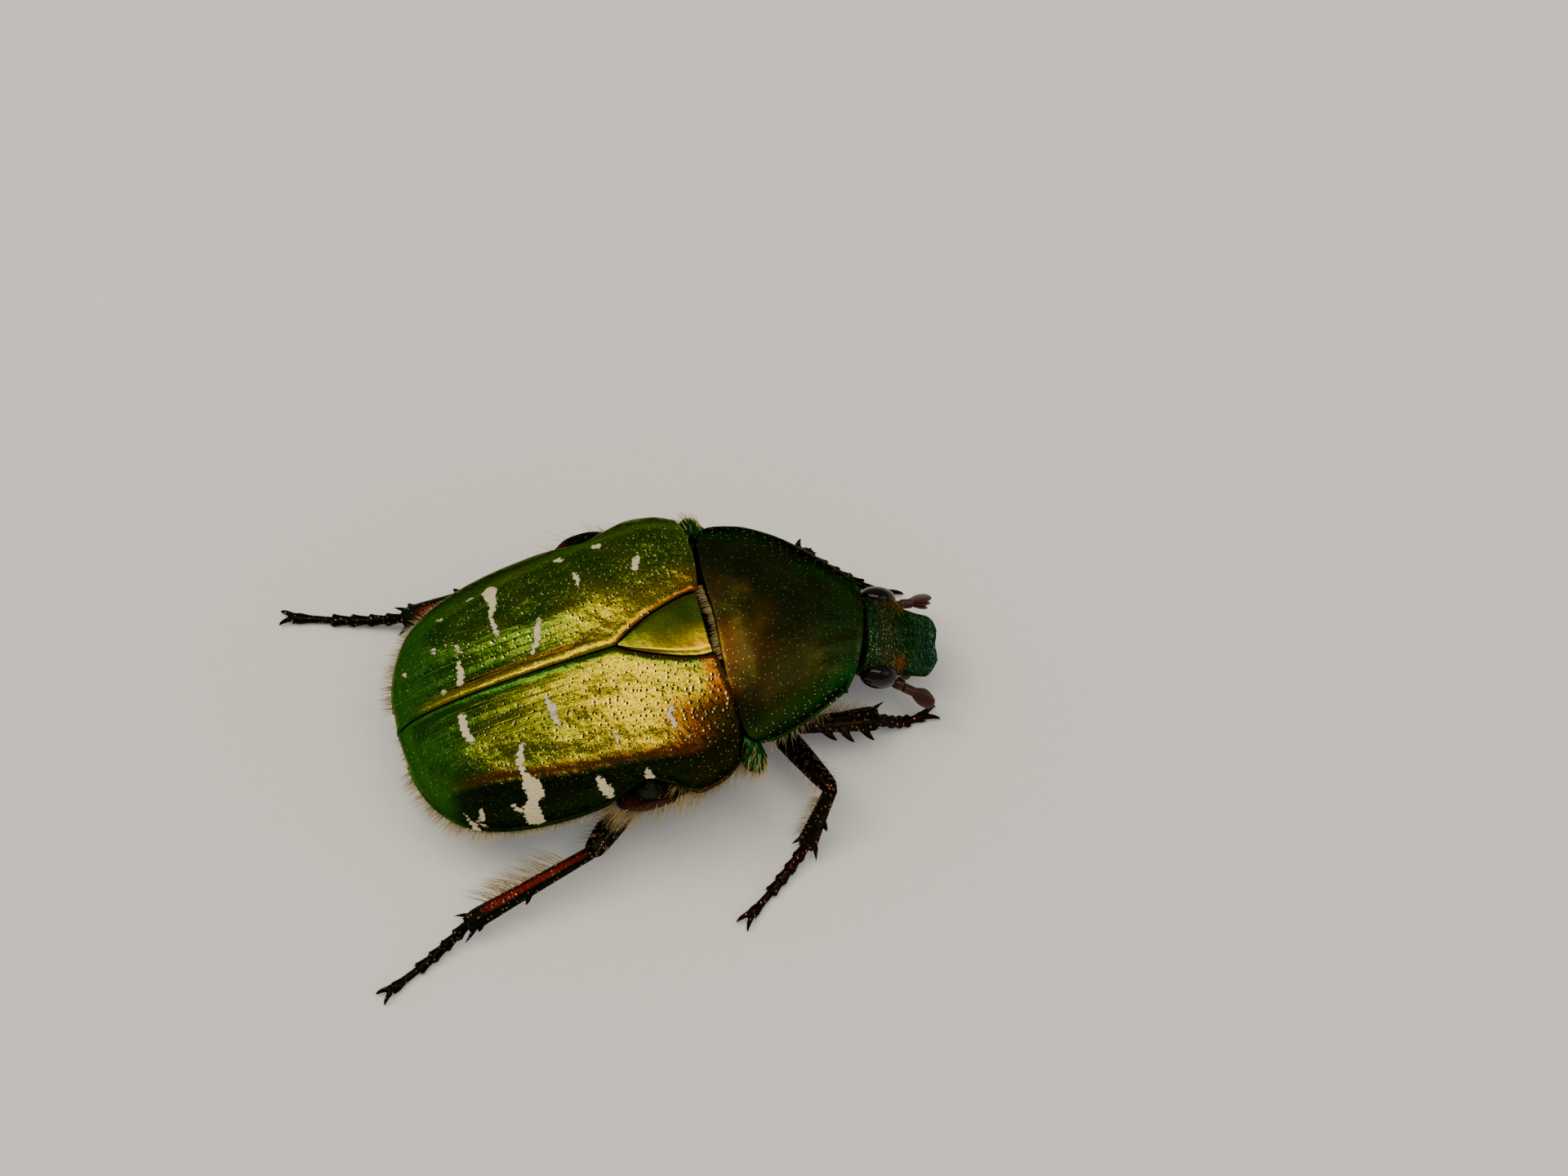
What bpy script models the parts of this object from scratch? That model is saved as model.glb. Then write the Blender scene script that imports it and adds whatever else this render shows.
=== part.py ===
"""Rose chafer beetle, a still life-size model that stands on its six feet.

Lengths are written in millimetres and become metres as each mesh is shaped. The beetle faces +X, its left
side is +Y and the floor is z = 0. Before the last shift, x = 0 is the front edge of the wing cases and y = 0
is their seam.
"""

import math

import bmesh
import bpy
import numpy as np
from mathutils import Matrix, Vector

MM = 0.001
GAP = 0.12
STAND_SHIFT = Vector((3.004, 0.642, 0.0))

WING_CASE_FRONT = 0.3
WING_CASE_LENGTH = 10.9
WING_CASE_WALL = 0.5
WING_CASE_ARCH = 2.5
WING_CASE_END = 4.1
WING_CASE_END_HEIGHT = 4.4
WING_CASE_CREST_HEIGHT = 7.75
WING_CASE_HALF_WIDTHS = (
    (-11, 4.5), (-6, 4.62), (-4.6, 4.58), (-3.6, 4.38), (-2.9, 4.24),
    (-2.1, 4.55), (-1.3, 4.88), (-0.5, 4.75), (0.4, 4.2),
)
WING_CASE_RIM_HEIGHTS = (
    (-11, 4.35), (-8.2, 4.6), (-6, 4.95), (-4.6, 5.3), (-3.6, 5.9),
    (-2.9, 6.2), (-2.1, 5.7), (-1.3, 5.0), (-0.6, 5.1), (0.4, 5.6),
)
WING_CASE_LAST_ROW = 0.16
WING_CASE_FRONT_DIP = 0.2
WING_CASE_END_ROUNDING = 0.05
FLANK_HALF_WIDTHS = (
    (-11, 4.3), (-6, 4.4), (-4.4, 4.42), (-3.3, 4.7), (-2.5, 4.7),
    (-1.6, 4.55), (0.0, 4.2), (0.5, 3.9), (0.8, 3.2),
)

SCUTELLUM_LENGTH = 2.6
SCUTELLUM_HALF_WIDTH = 1.08
SCUTELLUM_CROWN = 0.06

PRONOTUM_BASE = 0.5
PRONOTUM_LENGTH = 4.95
PRONOTUM_WALL = 0.6
PRONOTUM_ARCH = 2.3
PRONOTUM_TURN_BASE = math.radians(-3)
PRONOTUM_TURN_FRONT = math.radians(-17)
PRONOTUM_BASE_BOW = 0.18
PRONOTUM_HIND_CORNER = 0.6
PRONOTUM_FRONT_CORNER = 0.6
PRONOTUM_HALF_WIDTHS = (
    (0, 3.68), (0.6, 3.84), (1.3, 3.76), (2.2, 3.42), (3.1, 2.88), (4.0, 2.22), (4.95, 1.5),
)
PRONOTUM_CRESTS = ((0, 7.5), (1, 7.5), (2, 7.25), (3, 6.75), (4, 6.0), (4.95, 5.15))
PRONOTUM_RIMS = ((0, 5.5), (1, 5.15), (2, 4.75), (3, 4.4), (4, 4.15), (4.95, 4.0))
PROSTERNUM_BELLIES = ((0, 3.0), (1, 2.6), (2, 2.4), (3, 2.45), (4, 2.75), (4.95, 3.1))

THORAX_FRONT = 0.7
THORAX_BACK = -4.1
ABDOMEN_BACK = -10.5
ABDOMEN_ROUNDING = -8.9
BELLY_PLATES = 5
BELLY_PLATE_STEP = 0.022
CORE_LOOKAHEAD = 0.6
CORE_CLEARANCE = 0.23
BELLY_HEIGHTS = (
    (-11, 3.5), (-10.3, 2.7), (-9, 2.1), (-7, 1.75), (-4, 1.6), (-2, 1.5), (0, 1.7), (0.8, 2.2),
)
BELLY_KEEL = 1.64
FLANK_DROP = 0.42
CORE_DROP = 0.22
KNOB_ENDS = ((-0.2, 0, 2.0), (1.25, 0, 1.75))
KNOB_RADII = ((0, 0.3), (0.6, 0.34), (0.9, 0.42), (1, 0.2))
SIDE_PLATE_LOW = (0.74, 4.42, 4.0)
SIDE_PLATE_HIGH = (0.46, 3.98, 5.62)
SIDE_PLATE_RADII = ((0, 0.22), (0.3, 0.42), (0.7, 0.34), (1, 0.17))

HEAD_NECK = Vector((5.55, -0.95, 4.15))
HEAD_YAW = math.radians(-14)
HEAD_PITCH = math.radians(44)
HEAD_LENGTH = 2.62
HEAD_START = -0.45
HEAD_SQUARENESS = 2.6
HEAD_HALF_WIDTHS = (
    (-0.7, 1.1), (0, 1.38), (0.5, 1.42), (0.95, 1.32),
    (1.35, 1.14), (1.8, 1.1), (2.3, 1.08), (2.62, 0.86),
)
HEAD_TOPS = ((-0.7, 0.3), (0, 0.62), (0.6, 0.75), (1.3, 0.6), (2.0, 0.42), (2.62, 0.34))
HEAD_BOTTOMS = ((-0.7, -0.75), (0, -1.1), (0.8, -1.1), (1.4, -0.8), (2.0, -0.45), (2.62, -0.1))
EYE_SEAT = Vector((0.42, 1.33, -0.12))
EYE_RADII = Vector((0.68, 0.44, 0.6))

ANTENNA_ROOT = Vector((1.3, 1.05, -0.5))
SOCKET_DEPTH = 0.7
ANTENNA_ELBOW = (0.36, 0.42, 0.16)
ANTENNA_NECK = (0.42, 0.1, 0.05)
SCAPE_RADII = ((0, 0.22), (0.6, 0.27), (1, 0.23))
STALK_RADII = ((0, 0.22), (0.2, 0.25), (0.35, 0.22), (0.5, 0.25), (0.65, 0.22), (0.85, 0.25), (1, 0.22))
CLUB_LENGTH = 0.72
CLUB_SPREAD = 0.22
CLUB_HALF_WIDTHS = ((0, 0.13), (0.3, 0.27), (0.7, 0.31), (1, 0.16))
CLUB_HALF_HEIGHTS = ((0, 0.12), (0.3, 0.26), (0.8, 0.33), (1, 0.26))
CLUB_GROOVE = 0.4
PALP_ROOT = (1.7, 0.42, -0.88)
PALP_TIP = (2.55, 0.72, -1.15)
PALP_RADII = ((0, 0.2), (0.3, 0.25), (0.45, 0.2), (0.75, 0.26), (1, 0.14))

COXA_RADIUS = 0.62
COXA_REACH = 0.55
FLOOR_SOLE = 0.22

LEGS = {
    "left_fore": {
        "coxa": (3.2, 0.45, 2.05), "knee": (2.3, 3.1, 2.75), "ankle": (4.4, 3.2, 1.35),
        "foot": (6.5, 1.6, FLOOR_SOLE), "femur": 0.5, "tibia": 0.4,
    },
    "right_fore": {
        "coxa": (2.95, -1.35, 2.05), "knee": (2.4, -2.9, 2.8), "ankle": (4.95, -3.1, 1.85),
        "foot": (6.5, -3.0, FLOOR_SOLE), "femur": 0.5, "tibia": 0.4,
    },
    "left_mid": {
        "coxa": (1.0, 1.35, 1.7), "knee": (1.0, 4.7, 2.8), "ankle": (-0.2, 5.5, 0.85),
        "foot": (-2.8, 6.1, FLOOR_SOLE), "femur": 0.5, "tibia": 0.33,
    },
    "right_mid": {
        "coxa": (1.15, -1.35, 1.7), "knee": (2.85, -5.35, 2.85), "ankle": (1.5, -6.4, 0.85),
        "foot": (-0.9, -8.0, FLOOR_SOLE), "femur": 0.42, "tibia": 0.33,
    },
    "left_hind": {
        "coxa": (-3.1, 1.6, 1.62), "knee": (-5.2, 4.9, 2.75), "ankle": (-9.6, 5.4, 1.0),
        "foot": (-13.3, 6.8, FLOOR_SOLE), "femur": 0.56, "tibia": 0.34,
    },
    "right_hind": {
        "coxa": (-2.5, -2.5, 2.2), "knee": (-5.45, -5.1, 2.75), "ankle": (-10.2, -5.75, 1.0),
        "foot": (-13.3, -7.0, FLOOR_SOLE), "femur": 0.5, "tibia": 0.33,
    },
}
LIMB_FLATNESS = 0.74
THIGH_FLATNESS = 0.78

FORE_TEETH = (0.34, 0.56, 0.82)
OTHER_TEETH = (0.52,)
FORE_TOOTH_REACH = 0.64
OTHER_TOOTH_REACH = 0.36
TOOTH_RADIUS = 0.19
SPUR_RADIUS = 0.13
SPUR_REACH = 0.42
TARSUS_SEGMENTS = (0.19, 0.17, 0.17, 0.17, 0.30)
TARSUS_RADII = (0.19, 0.26)
TARSUS_OVERLAP = 0.14
TARSUS_LANDING = 0.42
CLAW_RADII = ((0, 0.13), (0.5, 0.1), (1, 0.03))
CLAW_TIP_HEIGHT = 0.07
CLAW_BOW = 0.16
CLAW_LENGTH = 0.62
CLAW_SPREAD = math.radians(24)

CUTICLE = {"green": ((0.03, 0.16, 0.03), 0.25, 0.9), "bronze": ((0.10, 0.09, 0.02), 0.28, 0.9)}
DARK_CUTICLE = ((0.02, 0.025, 0.018), 0.3, 0.6)
EYE_BLACK = ((0.006, 0.004, 0.004), 0.12, 0.0)
HORN_BROWN = ((0.16, 0.06, 0.02), 0.4, 0.0)


def smooth_through(stations, at):
    """The height at a place on the smooth curve through the stations, which never overshoots them."""
    places, heights = np.array(stations, float).T
    at = float(np.clip(at, places[0], places[-1]))
    slopes = np.diff(heights) / np.diff(places)
    tangents = np.concatenate([[slopes[0]], np.zeros(len(slopes) - 1), [slopes[-1]]])
    for i in range(1, len(slopes)):
        if slopes[i - 1] * slopes[i] > 0:
            tangents[i] = 2 * slopes[i - 1] * slopes[i] / (slopes[i - 1] + slopes[i])
    i = min(int(np.searchsorted(places, at, side="right")) - 1, len(slopes) - 1)
    width = places[i + 1] - places[i]
    s = (at - places[i]) / width
    start, end = heights[i], heights[i + 1]
    return (
        start * (1 + 2 * s) * (1 - s) ** 2
        + end * s * s * (3 - 2 * s)
        + tangents[i] * width * s * (1 - s) ** 2
        - tangents[i + 1] * width * s * s * (1 - s)
    )


def bump(value, centre, width):
    return math.exp(-(((value - centre) / width) ** 2))


def ramp(value, start, end):
    s = min(max((value - start) / (end - start), 0.0), 1.0)
    return s * s * (3 - 2 * s)


def wing_case_half_width(x):
    share = min(max((WING_CASE_FRONT - x) / WING_CASE_LENGTH, 0.0), 1.0)
    return smooth_through(WING_CASE_HALF_WIDTHS, x) * (1 - share**WING_CASE_END) ** (1 / WING_CASE_END)


def wing_case_crest(x):
    share = min(max((WING_CASE_FRONT - x) / WING_CASE_LENGTH, 0.0), 1.0)
    fall = (1 - share**2.6) ** (1 / 2.6)
    front_dip = WING_CASE_FRONT_DIP * ramp(x, -2.0, 0.5)
    return WING_CASE_END_HEIGHT + (WING_CASE_CREST_HEIGHT - WING_CASE_END_HEIGHT) * fall - front_dip


def wing_case_relief(x, y):
    """Raised seam, the hollow beside it, two low ribs, and the shoulder and end bosses."""
    back = ramp(-x, 3.0, 8.0)
    return (
        0.10 * back * bump(y, 0, 0.28)
        - 0.13 * back * bump(y, 0.85, 0.45)
        + 0.05 * bump(y, 1.6, 0.35) * ramp(-x, 1.5, 4)
        + 0.22 * bump(x, -0.9, 0.8) * bump(y, 3.75, 0.6)
        + 0.18 * bump(x, -8.7, 0.8) * bump(y, 2.35, 0.7)
    )


def wing_case_height(x, y):
    half_width = max(wing_case_half_width(x), 0.01)
    rim = min(smooth_through(WING_CASE_RIM_HEIGHTS, x), wing_case_crest(x) - 0.05)
    share = min(abs(y) / half_width, 1.0)
    arch = (1 - share**WING_CASE_ARCH) ** (1 / WING_CASE_ARCH)
    return rim + (wing_case_crest(x) - rim) * arch + wing_case_relief(x, abs(y)) * (1 - share**4)


def scutellum_half_width(x):
    share = min(max(-x / SCUTELLUM_LENGTH, 0.0), 1.0)
    return SCUTELLUM_HALF_WIDTH * (1 - share**1.3) ** 0.85


def prothorax_place(along, sideways, height):
    """A point of the prothorax, which turns to the beetle's right as it runs forward."""
    share = along / PRONOTUM_LENGTH
    turn = PRONOTUM_TURN_BASE + (PRONOTUM_TURN_FRONT - PRONOTUM_TURN_BASE) * share
    centre = along * math.tan((PRONOTUM_TURN_BASE + turn) / 2)
    x = PRONOTUM_BASE + along - sideways * math.sin(turn)
    return Vector((x, centre + sideways * math.cos(turn), height))


def head_matrix():
    turn = Matrix.Rotation(HEAD_YAW, 4, "Z") @ Matrix.Rotation(HEAD_PITCH, 4, "Y")
    return Matrix.Translation(HEAD_NECK) @ turn


def superellipse(angle, power):
    """Cosine and sine bent towards a rounded box, as power grows above 2."""
    c, s = math.cos(angle), math.sin(angle)
    return (
        math.copysign(abs(c) ** (2 / power), c),
        math.copysign(abs(s) ** (2 / power), s),
    )


def core_section(angle, half_width, crest, rim, wall, arch):
    """The upper half of a body section, under a shell of this wall, with a gap between them."""
    c, s = superellipse(angle, arch)
    inset = wall + GAP + CORE_CLEARANCE
    base = min(rim - CORE_DROP, crest - inset - 0.25)
    return c * (half_width - inset), base + (crest - inset - base) * s


def belly_section(angle, half_width, rim, belly):
    """The lower half of a body section, from the flank's top edge down to the keel."""
    c, s = superellipse(angle, BELLY_KEEL)
    edge = rim - FLANK_DROP
    return c * half_width, edge + (edge - belly) * s


def new_object(name, bm):
    bmesh.ops.recalc_face_normals(bm, faces=bm.faces)
    if bm.calc_volume(signed=True) < 0:
        bmesh.ops.reverse_faces(bm, faces=bm.faces)
    mesh = bpy.data.meshes.new(name)
    bm.to_mesh(mesh)
    bm.free()
    obj = bpy.data.objects.new(name, mesh)
    bpy.context.scene.collection.objects.link(obj)
    return obj


def shaped_tube(name, around, rings, place):
    """A ball primitive drawn out into a closed tube.

    place takes the share along, the angle round and the reach, which is 0 on the axis.
    """
    bm = bmesh.new()
    bmesh.ops.create_uvsphere(bm, u_segments=around, v_segments=rings + 1, radius=1)
    for vertex in bm.verts:
        row = round(math.acos(min(max(vertex.co.z, -1), 1)) / math.pi * (rings + 1))
        reach = 0.0 if row in (0, rings + 1) else 1.0
        share = min(max((row - 1) / (rings - 1), 0.0), 1.0)
        vertex.co = place(share, math.atan2(vertex.co.y, vertex.co.x), reach) * MM
    return new_object(name, bm)


def shaped_sheet(name, rows, columns, place):
    """A grid primitive laid over a curved surface. place takes the two shares from 0 to 1."""
    bm = bmesh.new()
    bmesh.ops.create_grid(bm, x_segments=rows, y_segments=columns, size=0.5)
    for vertex in bm.verts:
        vertex.co = place(vertex.co.x + 0.5, vertex.co.y + 0.5) * MM
    return new_object(name, bm)


def settle(obj):
    """Applies the object's modifiers by taking its evaluated mesh."""
    graph = bpy.context.evaluated_depsgraph_get()
    mesh = bpy.data.meshes.new_from_object(obj.evaluated_get(graph))
    obj.modifiers.clear()
    obj.data = mesh
    return obj


def thicken(obj, wall):
    """Gives a sheet its wall on the inner side, away from +Z."""
    normals = [p.normal.z for p in obj.data.polygons]
    if sum(normals) < 0:
        obj.data.flip_normals()
    solidify = obj.modifiers.new("wall", "SOLIDIFY")
    solidify.thickness = wall * MM
    solidify.offset = -1
    solidify.use_even_offset = False
    return settle(obj)


def trim(obj, point, normal):
    """Cuts away what lies past the plane, on the normal's side, and closes the cut."""
    bm = bmesh.new()
    bm.from_mesh(obj.data)
    bmesh.ops.bisect_plane(
        bm,
        geom=bm.verts[:] + bm.edges[:] + bm.faces[:],
        dist=1e-8,
        plane_co=Vector(point) * MM,
        plane_no=Vector(normal),
        clear_outer=True,
    )
    open_edges = [e for e in bm.edges if e.is_boundary]
    bmesh.ops.holes_fill(bm, edges=open_edges, sides=0)
    bmesh.ops.triangulate(bm, faces=bm.faces)
    bmesh.ops.recalc_face_normals(bm, faces=bm.faces)
    bm.to_mesh(obj.data)
    bm.free()
    return obj


def largest_body(obj):
    """Keeps the largest closed surface of a mesh."""
    bm = bmesh.new()
    bm.from_mesh(obj.data)
    left, bodies = set(bm.verts), []
    while left:
        grown, edge = set(), {left.pop()}
        while edge:
            grown |= edge
            edge = {e.other_vert(v) for v in edge for e in v.link_edges} - grown
        left -= grown
        bodies.append(grown)
    bodies.sort(key=len)
    for body in bodies[:-1]:
        bmesh.ops.delete(bm, geom=list(body), context="VERTS")
    bm.to_mesh(obj.data)
    bm.free()
    return obj


def fuse(name, pieces):
    """Joins overlapping pieces into one closed body with a Boolean union."""
    base, others = pieces[0], pieces[1:]
    group = bpy.data.collections.new(name + "_pieces")
    for piece in others:
        group.objects.link(piece)
    union = base.modifiers.new("union", "BOOLEAN")
    union.operation = "UNION"
    union.solver = "EXACT"
    union.operand_type = "COLLECTION"
    union.collection = group
    settle(base)
    for piece in others:
        bpy.data.objects.remove(piece)
    bpy.data.collections.remove(group)
    base.name = name
    return largest_body(base)


def carve(obj, cutter):
    """Cuts one solid from another and removes the cutter."""
    cut = obj.modifiers.new("cut", "BOOLEAN")
    cut.operation = "DIFFERENCE"
    cut.solver = "EXACT"
    cut.object = cutter
    settle(obj)
    bpy.data.objects.remove(cutter)
    return largest_body(obj)


def frame_along(direction, up=Vector((0, 0, 1))):
    """Two unit vectors across a direction: one sideways, one nearly upwards."""
    side = direction.cross(up)
    if side.length < 1e-6:
        side = direction.cross(Vector((1, 0, 0)))
    side.normalize()
    return side, side.cross(direction).normalized()


def limb(name, start, end, profile, flat=1.0, bow=0.0, around=10, rings=7, up=Vector((0, 0, 1))):
    """A limb between two points, with radii from a profile, flattened upwards and bowed along its length."""
    start, end = Vector(start), Vector(end)
    direction = (end - start).normalized()
    length = (end - start).length
    side, rise = frame_along(direction, up)

    def place(share, angle, reach):
        radius = smooth_through(profile, share) * reach
        centre = start + direction * length * share + rise * bow * length * math.sin(math.pi * share)
        return centre + side * radius * math.cos(angle) + rise * radius * flat * math.sin(angle)

    return shaped_tube(name, around, rings, place)


def spike(name, root, tip, radius):
    return limb(name, root, tip, ((0, radius), (0.6, radius * 0.62), (1, radius * 0.12)), around=6, rings=3)


def seam_side(x):
    """How far the inner edge of a wing case stays from the middle."""
    return scutellum_half_width(x) + GAP if x > -SCUTELLUM_LENGTH else GAP / 2


def wing_case(side):
    """One wing case: a curved shell from the seam to the rim, notched for the scutellum."""
    sign = 1 if side == "left" else -1

    def place(along, across):
        eased = (along + math.sin(along * math.pi / 2)) / 2
        x = WING_CASE_FRONT - eased * (WING_CASE_LENGTH - WING_CASE_LAST_ROW)
        half_width = wing_case_half_width(x)
        inner = seam_side(x)
        y = inner + (half_width - inner) * math.sin(across * math.pi / 2)
        z = wing_case_height(x, y)
        rounded_end = WING_CASE_END_ROUNDING * y * y * eased**8
        return Vector((x + rounded_end, sign * y, z))

    shell = thicken(shaped_sheet(f"{side}_wing_case", 19, 11, place), WING_CASE_WALL)
    for vertex in shell.data.vertices:
        vertex.co.y = sign * max(sign * vertex.co.y, seam_side(vertex.co.x / MM) * MM)
    return shell


def scutellum():
    def place(along, across):
        x = WING_CASE_FRONT - 0.05 - along * (SCUTELLUM_LENGTH + WING_CASE_FRONT - 0.12)
        y = (2 * across - 1) * max(scutellum_half_width(x), 0.06)
        return Vector((x, y, wing_case_height(x, 0) - SCUTELLUM_CROWN * y * y))

    return thicken(shaped_sheet("scutellum", 9, 5, place), WING_CASE_WALL)


def pronotum_height(along, sideways):
    half_width = smooth_through(PRONOTUM_HALF_WIDTHS, along)
    crest = smooth_through(PRONOTUM_CRESTS, along)
    rim = smooth_through(PRONOTUM_RIMS, along)
    share = min(abs(sideways) / half_width, 1.0)
    return rim + (crest - rim) * (1 - share**PRONOTUM_ARCH) ** (1 / PRONOTUM_ARCH)


def pronotum():
    """The shield behind the head, a shell whose hind edge curves round the scutellum."""

    def place(along, across):
        spread = 2 * across - 1
        base = PRONOTUM_BASE_BOW * bump(spread, 0, 0.28) + PRONOTUM_HIND_CORNER * abs(spread) ** 5
        front = -PRONOTUM_FRONT_CORNER * abs(spread) ** 3
        reach = PRONOTUM_LENGTH * along + base * (1 - along) ** 2 + front * along**2
        half_width = smooth_through(PRONOTUM_HALF_WIDTHS, reach)
        sideways = half_width * math.sin(spread * math.pi / 2)
        return prothorax_place(reach, sideways, pronotum_height(reach, sideways))

    return thicken(shaped_sheet("pronotum", 13, 19, place), PRONOTUM_WALL)


def prosternum():
    """The underside of the prothorax, with the sockets of the forelegs fused on."""
    back, front = 0.6, PRONOTUM_LENGTH - 0.95

    def place(share, angle, reach):
        along = back + (front - back) * share + 0.7 * (1 - share) * max(-math.sin(angle), 0)
        half_width = smooth_through(PRONOTUM_HALF_WIDTHS, along)
        rim = smooth_through(PRONOTUM_RIMS, along)
        crest = smooth_through(PRONOTUM_CRESTS, along + CORE_LOOKAHEAD * share)
        if angle >= -1e-6:
            shoulder = smooth_through(PRONOTUM_HALF_WIDTHS, along + CORE_LOOKAHEAD * share)
            y, z = core_section(angle, shoulder, crest, rim, PRONOTUM_WALL + 0.14, PRONOTUM_ARCH)
        else:
            y, z = belly_section(angle, half_width - 0.4, rim, smooth_through(PROSTERNUM_BELLIES, along))
        middle = rim - 0.6
        return prothorax_place(along, y * reach, middle + (z - middle) * reach)

    body = shaped_tube("prosternum", 24, 9, place)
    return fuse("prosternum", [body] + [coxa(leg) for leg in ("left_fore", "right_fore")])


def leg_points(leg):
    return [Vector(LEGS[leg][k]) for k in ("coxa", "knee", "ankle", "foot")]


def coxa(leg):
    """The rounded socket piece that a leg hangs from, cut flat where the femur meets it."""
    centre, knee = leg_points(leg)[:2]
    out = (knee - centre).normalized()
    ball = limb(
        f"{leg}_coxa", centre - out * 1.0, centre + out * 0.75,
        ((0, 0.35), (0.35, COXA_RADIUS), (0.7, COXA_RADIUS * 0.95), (1, 0.4)), around=10, rings=6,
    )
    return trim(ball, centre + out * (COXA_REACH - GAP / 2), out)


def thorax():
    """The middle and hind thorax in one body, with four sockets and the knob between them."""

    def place(share, angle, reach):
        x = THORAX_FRONT + (THORAX_BACK - THORAX_FRONT) * share
        neck = ramp(x, -0.2, THORAX_FRONT)
        rim = smooth_through(WING_CASE_RIM_HEIGHTS, x)
        if angle >= -1e-6:
            half_width = smooth_through(WING_CASE_HALF_WIDTHS, x) - 0.5 * neck
            crest = wing_case_crest(x) - 0.75 * neck
            y, z = core_section(angle, half_width, crest, rim, WING_CASE_WALL, WING_CASE_ARCH)
        else:
            half_width = smooth_through(FLANK_HALF_WIDTHS, x)
            y, z = belly_section(angle, half_width, rim, smooth_through(BELLY_HEIGHTS, x))
        middle = rim - 0.6
        return Vector((x, y * reach, middle + (z - middle) * reach))

    body = shaped_tube("thorax", 28, 11, place)
    knob = limb("knob", *KNOB_ENDS, KNOB_RADII, around=8)
    sockets = [coxa(leg) for leg in ("left_mid", "right_mid", "left_hind", "right_hind")]
    return fuse("thorax", [body, knob] + sockets)


def abdomen():
    """The abdomen, with the steps between its belly plates and its rounded end plate."""
    front = THORAX_BACK - GAP

    def place(share, angle, reach):
        eased = (share + math.sin(share * math.pi / 2)) / 2
        x = front + (ABDOMEN_BACK - front) * eased
        behind = x - CORE_LOOKAHEAD * eased
        crest = wing_case_crest(behind)
        rim = min(smooth_through(WING_CASE_RIM_HEIGHTS, x), crest - 0.1)
        if angle >= -1e-6:
            half_width = max(wing_case_half_width(behind), 1.9)
            y, z = core_section(angle, half_width, crest, rim, WING_CASE_WALL, WING_CASE_ARCH)
        else:
            inside = max(wing_case_half_width(behind) - 0.2, 1.5)
            half_width = min(smooth_through(FLANK_HALF_WIDTHS, x), inside)
            y, z = belly_section(angle, half_width, rim, smooth_through(BELLY_HEIGHTS, x))
        under = min(max(-2 * math.sin(angle), 0), 1)
        step = 1 - BELLY_PLATE_STEP * ((share * BELLY_PLATES) % 1.0) * under
        closing = min(max((ABDOMEN_ROUNDING - x) / (ABDOMEN_ROUNDING - ABDOMEN_BACK), 0), 1)
        size = (1 - 0.93 * closing**2.6) ** (1 / 2.6) * step
        middle = rim - 0.5
        return Vector((x, y * reach * size, middle + (z - middle) * reach * size))

    return shaped_tube("abdomen", 24, 18, place)


def mirrored(point, sign):
    return Vector((point[0], sign * point[1], point[2]))


def side_plate(side):
    """The mesepimeron: the rounded green piece that shows between the shield and a wing case."""
    sign = 1 if side == "left" else -1
    low, high = mirrored(SIDE_PLATE_LOW, sign), mirrored(SIDE_PLATE_HIGH, sign)
    return limb(f"{side}_side_plate", low, high, SIDE_PLATE_RADII, around=12, up=Vector((1, 0, 0)))


def head_place(h, side, rise):
    return head_matrix() @ Vector((h, side, rise))


def head():
    """The head with its square clypeus, hollowed at each eye."""

    def place(share, angle, reach):
        h = HEAD_START + (HEAD_LENGTH - HEAD_START) * share
        half_width = smooth_through(HEAD_HALF_WIDTHS, h)
        top, bottom = smooth_through(HEAD_TOPS, h), smooth_through(HEAD_BOTTOMS, h)
        c, s = superellipse(angle, HEAD_SQUARENESS)
        middle = (top + bottom) / 2
        return head_place(h, half_width * c * reach, middle + (top - bottom) / 2 * s * reach)

    skull = shaped_tube("head", 22, 14, place)
    for side in ("left", "right"):
        skull = carve(skull, eye(side, GAP))
        skull = carve(skull, antenna_socket(side))
    return skull


def antenna_socket(side):
    """The hollow in the side of the head that the first joint of an antenna turns in."""
    sign = 1 if side == "left" else -1
    radius = SCAPE_RADII[1][1] + GAP
    centre = mirrored(ANTENNA_ROOT, sign)
    ends = [head_matrix() @ (centre + Vector((r, sign * r, r * 0.4))) for r in (-GAP, SOCKET_DEPTH)]
    return limb("hollow", ends[0], ends[1], ((0, radius), (1, radius)), rings=3)


def eye(side, swell=0.0):
    """One domed eye, or the hollow that it sits in when swollen by the gap."""
    sign = 1 if side == "left" else -1
    bm = bmesh.new()
    bmesh.ops.create_uvsphere(bm, u_segments=16, v_segments=10, radius=1)
    radii = EYE_RADII + Vector((swell, swell, swell))
    seat = mirrored(EYE_SEAT, sign)
    for vertex in bm.verts:
        shaped = Vector(vertex.co[i] * radii[i] for i in range(3))
        vertex.co = (head_matrix() @ (seat + shaped)) * MM
    return new_object(f"{side}_eye", bm)


def antenna_club(name, start, end, up):
    """Three leaves pressed together, told apart by grooves that open towards the tip."""
    direction = (end - start).normalized()
    length = (end - start).length
    side, rise = frame_along(direction, up)

    def place(share, angle, reach):
        c, s = superellipse(angle, 2.2)
        width = smooth_through(CLUB_HALF_WIDTHS, share)
        height = smooth_through(CLUB_HALF_HEIGHTS, share)
        groove = CLUB_GROOVE * ramp(share, 0.1, 0.5) * (bump(s, 0.36, 0.14) + bump(s, -0.36, 0.14))
        centre = start + direction * length * share
        return centre + (side * width * c * (1 - groove) + rise * height * s) * reach

    return shaped_tube(name, 24, 7, place)


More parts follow.
